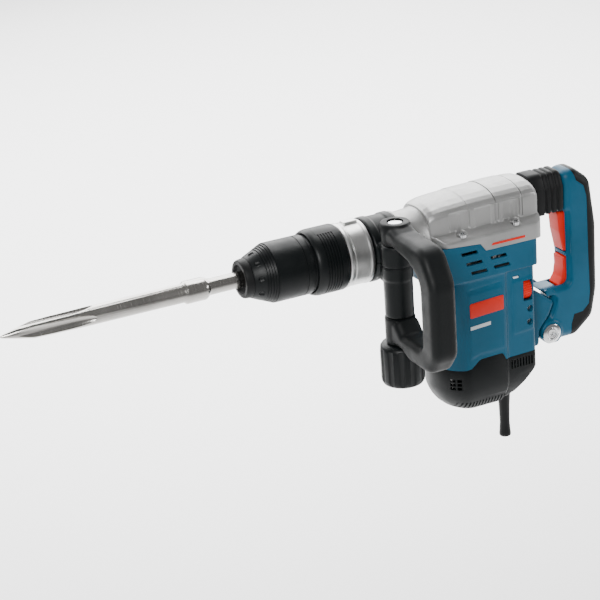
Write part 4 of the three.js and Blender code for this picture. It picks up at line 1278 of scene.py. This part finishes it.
@dataclass
class SideHandle:
    """The clamp round the neck, the loop handle, its bolt and its knob."""

    looks: Finishes
    bolt: tuple[float, float] = (17.5, -50.0)
    split: float = -5.0

    def build(self) -> None:
        """Builds the jaws, the loop, the bolt and the knob."""
        self.build_jaws()
        self.build_loop()
        self.build_bolt()
        self.build_knob()

    def build_jaws(self) -> None:
        """The two jaws, split across the bolt's post."""
        x, y = self.bolt
        band = spun("band", Axis.X, [
            (0, 31.2), (0, 36.4), (1.2, 37.4), (9, 37.4), (10, 36.2), (28, 36.2), (29, 37.4), (36.8, 37.4),
            (38, 36.4), (38, 31.2),
        ], steps=96)
        post = spun("post", Axis.Z, [
            (-65.7, 0), (-65.7, 15.4), (-64.7, 16.4), (-22, 16.6), (-20, 17.4), (-6.5, 17.4), (-5.2, 16.8),
            (-3.8, 17.4), (17.8, 17.4), (19.7, 16.2), (19.7, 0),
        ], (x, y, 0), 72)
        web = block((2.5, -50, -26), (32.5, -20, 17))
        whole = add(band, post, bevelled(web, 2.5, 3))
        cut(whole, rod(Axis.X, 31.2, -10, 60, (0, 0, 0), 96))
        moulded(whole, 1.0, 3)
        cut(whole, rod(Axis.X, 31.2, -10, 60, (0, 0, 0), 96), rod(Axis.Z, 4.8, -BIG, BIG, (x, y, 0)))
        lower = copied(whole, "lower_clamp_jaw")
        cut(lower, block((-BIG, -BIG, self.split - 0.35), (BIG, BIG, BIG)))
        whole.name = "upper_clamp_jaw"
        whole.data.name = whole.name
        cut(whole, block((-BIG, -BIG, -BIG), (BIG, BIG, self.split + 0.35)))
        finish(whole, self.looks.black, "clamp", ["clamp_jaw_upper"], 45)
        finish(lower, self.looks.black, "clamp", ["clamp_jaw_lower"], 45)

    def build_loop(self) -> None:
        """The loop: two hubs on the bolt, two arms and an upright grip."""
        x, y = self.bolt
        outline = rounded([
            (y, 44), (-64, 44), (-76, 40, 8), (-133, 38, 24), (-155.8, 4, 34), (-155.8, -82, 20),
            (-138, -105, 18), (-92, -105, 10), (-76, -98), (y, -98), (y, -66), (-67, -66), (-79, -79, 6),
            (-124.3, -80, 12), (-124.3, 2, 24), (-99, 15, 16), (-68, 20), (y, 20),
        ], 8)
        loop = slab("black_loop_handle", Axis.X, outline, x - 15.7, x + 15.7)
        soft_edged(loop, 8.5, 1.15)
        top_profile = [(20.2, 0), (20.2, 16.0), (38, 17.0), (44.0, 17.0), (45.5, 15.6), (45.5, 0)]
        top = spun("top", Axis.Z, top_profile, (x, y, 0), 64)
        bottom_profile = [(-98, 0), (-98, 16.6), (-97, 17.4), (-67, 17.4), (-66.1, 16.6), (-66.1, 0)]
        bottom = spun("bottom", Axis.Z, bottom_profile, (x, y, 0), 64)
        add(loop, top, bottom)
        cut(loop, rod(Axis.X, 37.9, -60, 90, (0, 0, 0), 72), rod(Axis.Z, 18.4, -66, 20, (x, y, 0), 64))
        moulded(loop, 1.15, 5)
        cut(loop, rod(Axis.Z, 4.8, -BIG, BIG, (x, y, 0)), rod(Axis.Z, 9.3, 37.5, BIG, (x, y, 0), 48))
        finish(loop, self.looks.soft, "loop", ["loop_handle"], 45)

    def build_bolt(self) -> None:
        """The long clamp bolt with its hexagon head in the upper hub."""
        x, y = self.bolt
        profile = [
            (-140, 0), (-140, 3.9), (-139, 4.5), (38.4, 4.5), (38.4, 8.6), (43.2, 8.6), (44, 7.6), (44, 0),
        ]
        bolt = spun("clamp_bolt_and_head", Axis.Z, profile, (x, y, 0), 48)
        hexagon = shifted([(8.6 * cos(pi / 3 * k), 8.6 * sin(pi / 3 * k)) for k in range(6)], x, y)
        head = slab("head", Axis.Z, hexagon, 37.9, 60)
        shank = rod(Axis.Z, 4.6, -200, 38.2, (x, y, 0), 48)
        keep(bolt, add(head, shank))
        finish(bolt, self.looks.chrome, "clamp", ["clamp_bolt"])

    def build_knob(self) -> None:
        """The fluted clamp knob under the lower hub."""
        x, y = self.bolt
        profile = [
            (-148, 0), (-148, 20.5), (-146.8, 22.8), (-144, 24.4), (-140, 25.0), (-106, 25.0), (-102, 24.2),
            (-99.6, 22.4), (-98.4, 19.4), (-98.4, 0),
        ]
        knob = spun("fluted_clamp_knob", Axis.Z, profile, (x, y, 0), 96)
        flute = rod(Axis.Z, 5.2, -160, -103, (x + 28.6, y, 0), 32)
        turned_copies(flute, Axis.Z, (x, y, 0), 12)
        cut(knob, flute)
        bevelled(knob, 0.5, 2, 40)
        cut(knob, rod(Axis.Z, 4.8, -142, 0, (x, y, 0)))
        finish(knob, self.looks.black, "knob", ["clamp_knob"], 40)


# ---------------------------------------------------------------- inner works


@dataclass
class InnerWorks:
    """The pieces inside the casings, which keep their CAD shapes."""

    looks: Finishes
    finishes_by_slot: dict[str, str] = field(default_factory=lambda: {
        "steel": "hidden_steel", "casting": "casting", "rubber": "rubber", "copper": "copper",
        "carbon": "carbon", "board": "board", "black_plastic": "black", "blue_plastic": "blue",
        "red_plastic": "red", "chrome": "chrome", "lamp": "lamp",
    })

    def dress(self) -> None:
        """Gives every CAD node the finish of its material slot."""
        slots = {part["node"]: part["material_slot"] for part in frame["record"]["subparts"]}
        for name, obj in frame["nodes"].items():
            material = getattr(self.looks, self.finishes_by_slot[slots[name]])
            for holder in obj.material_slots:
                holder.material = material
        log.info("dressed %d inner and carried-over nodes", len(slots))


# ---------------------------------------------------------------- studio


@dataclass
class Studio:
    """A pale floor, soft lights and the camera."""

    right: tuple[float, float, float] = (0.89575, -0.43908, -0.06952)
    up: tuple[float, float, float] = (0.22314, 0.30883, 0.92457)
    back: tuple[float, float, float] = (-0.38449, -0.84370, 0.37461)
    place: tuple[float, float, float] = (-0.9401, -1.8851, 0.7957)
    lens: float = 120.0
    floor_height: float = -0.75

    def build(self) -> None:
        """Builds the camera, the floor and the lights."""
        self.build_camera()
        self.build_floor()
        self.light("key_light", (-1.3, -1.6, 1.1), (0.0, 0.0, -0.05), 0.7, 40.0)
        self.light("top_light", (0.5, 0.6, 1.5), (0.05, 0.0, 0.0), 0.8, 16.0)
        self.light("side_light", (1.9, -1.0, 0.5), (0.15, 0.0, -0.05), 0.6, 12.0)
        self.light("floor_light", (1.0, 2.6, 0.6), (1.0, 2.6, self.floor_height), 4.2, 380.0)
        world = bpy.data.worlds.new("pale_room")
        world.use_nodes = True
        world.node_tree.nodes["Background"].inputs["Color"].default_value = (1.0, 1.0, 1.0, 1.0)
        world.node_tree.nodes["Background"].inputs["Strength"].default_value = 0.2
        bpy.context.scene.world = world

    def build_camera(self) -> None:
        """A long lens from the front left, a little above the machine."""
        data = bpy.data.cameras.new("camera")
        data.lens = self.lens
        data.sensor_width = 36.0
        camera = bpy.data.objects.new("camera", data)
        bpy.context.scene.collection.objects.link(camera)
        turn = Matrix((self.right, self.up, self.back)).transposed().to_4x4()
        camera.matrix_world = Matrix.Translation(self.place) @ turn
        bpy.context.scene.camera = camera

    def build_floor(self) -> None:
        """A wide pale floor well below the machine, which is held by its neck."""
        clear_selection()
        bpy.ops.mesh.primitive_plane_add(size=40.0, location=(0.0, 0.0, self.floor_height))
        floor = bpy.context.view_layer.objects.active
        floor.name = "pale_floor"
        sheet = Sheet("pale_floor")
        sheet.feed(sheet.ramp(sheet.noise(0.5, 2.0), [(0.3, grey(0.9)), (0.7, grey(0.93))]), "Base Color")
        sheet.shader.inputs["Roughness"].default_value = 0.9
        floor.data.materials.append(sheet.material)

    def light(self, name: str, place: Point, aim: Point, size: float, power: float) -> None:
        """Adds a square soft light that points at a place."""
        data = bpy.data.lights.new(name, "AREA")
        data.energy = power
        data.size = size
        lamp = bpy.data.objects.new(name, data)
        bpy.context.scene.collection.objects.link(lamp)
        lamp.location = place
        lamp.rotation_euler = (Vector(aim) - Vector(place)).to_track_quat("-Z", "Y").to_euler()


def main() -> None:
    """Builds the studio and every part of the machine, in order."""
    logging.basicConfig(level=logging.INFO, format="%(message)s")
    Studio().build()
    looks = Finishes()
    InnerWorks(looks).dress()
    for part in (Chuck(looks), GearCasing(looks), MotorCasing(looks), RearHandle(looks), SideHandle(looks)):
        part.build()


if __name__ == "__main__":
    main()
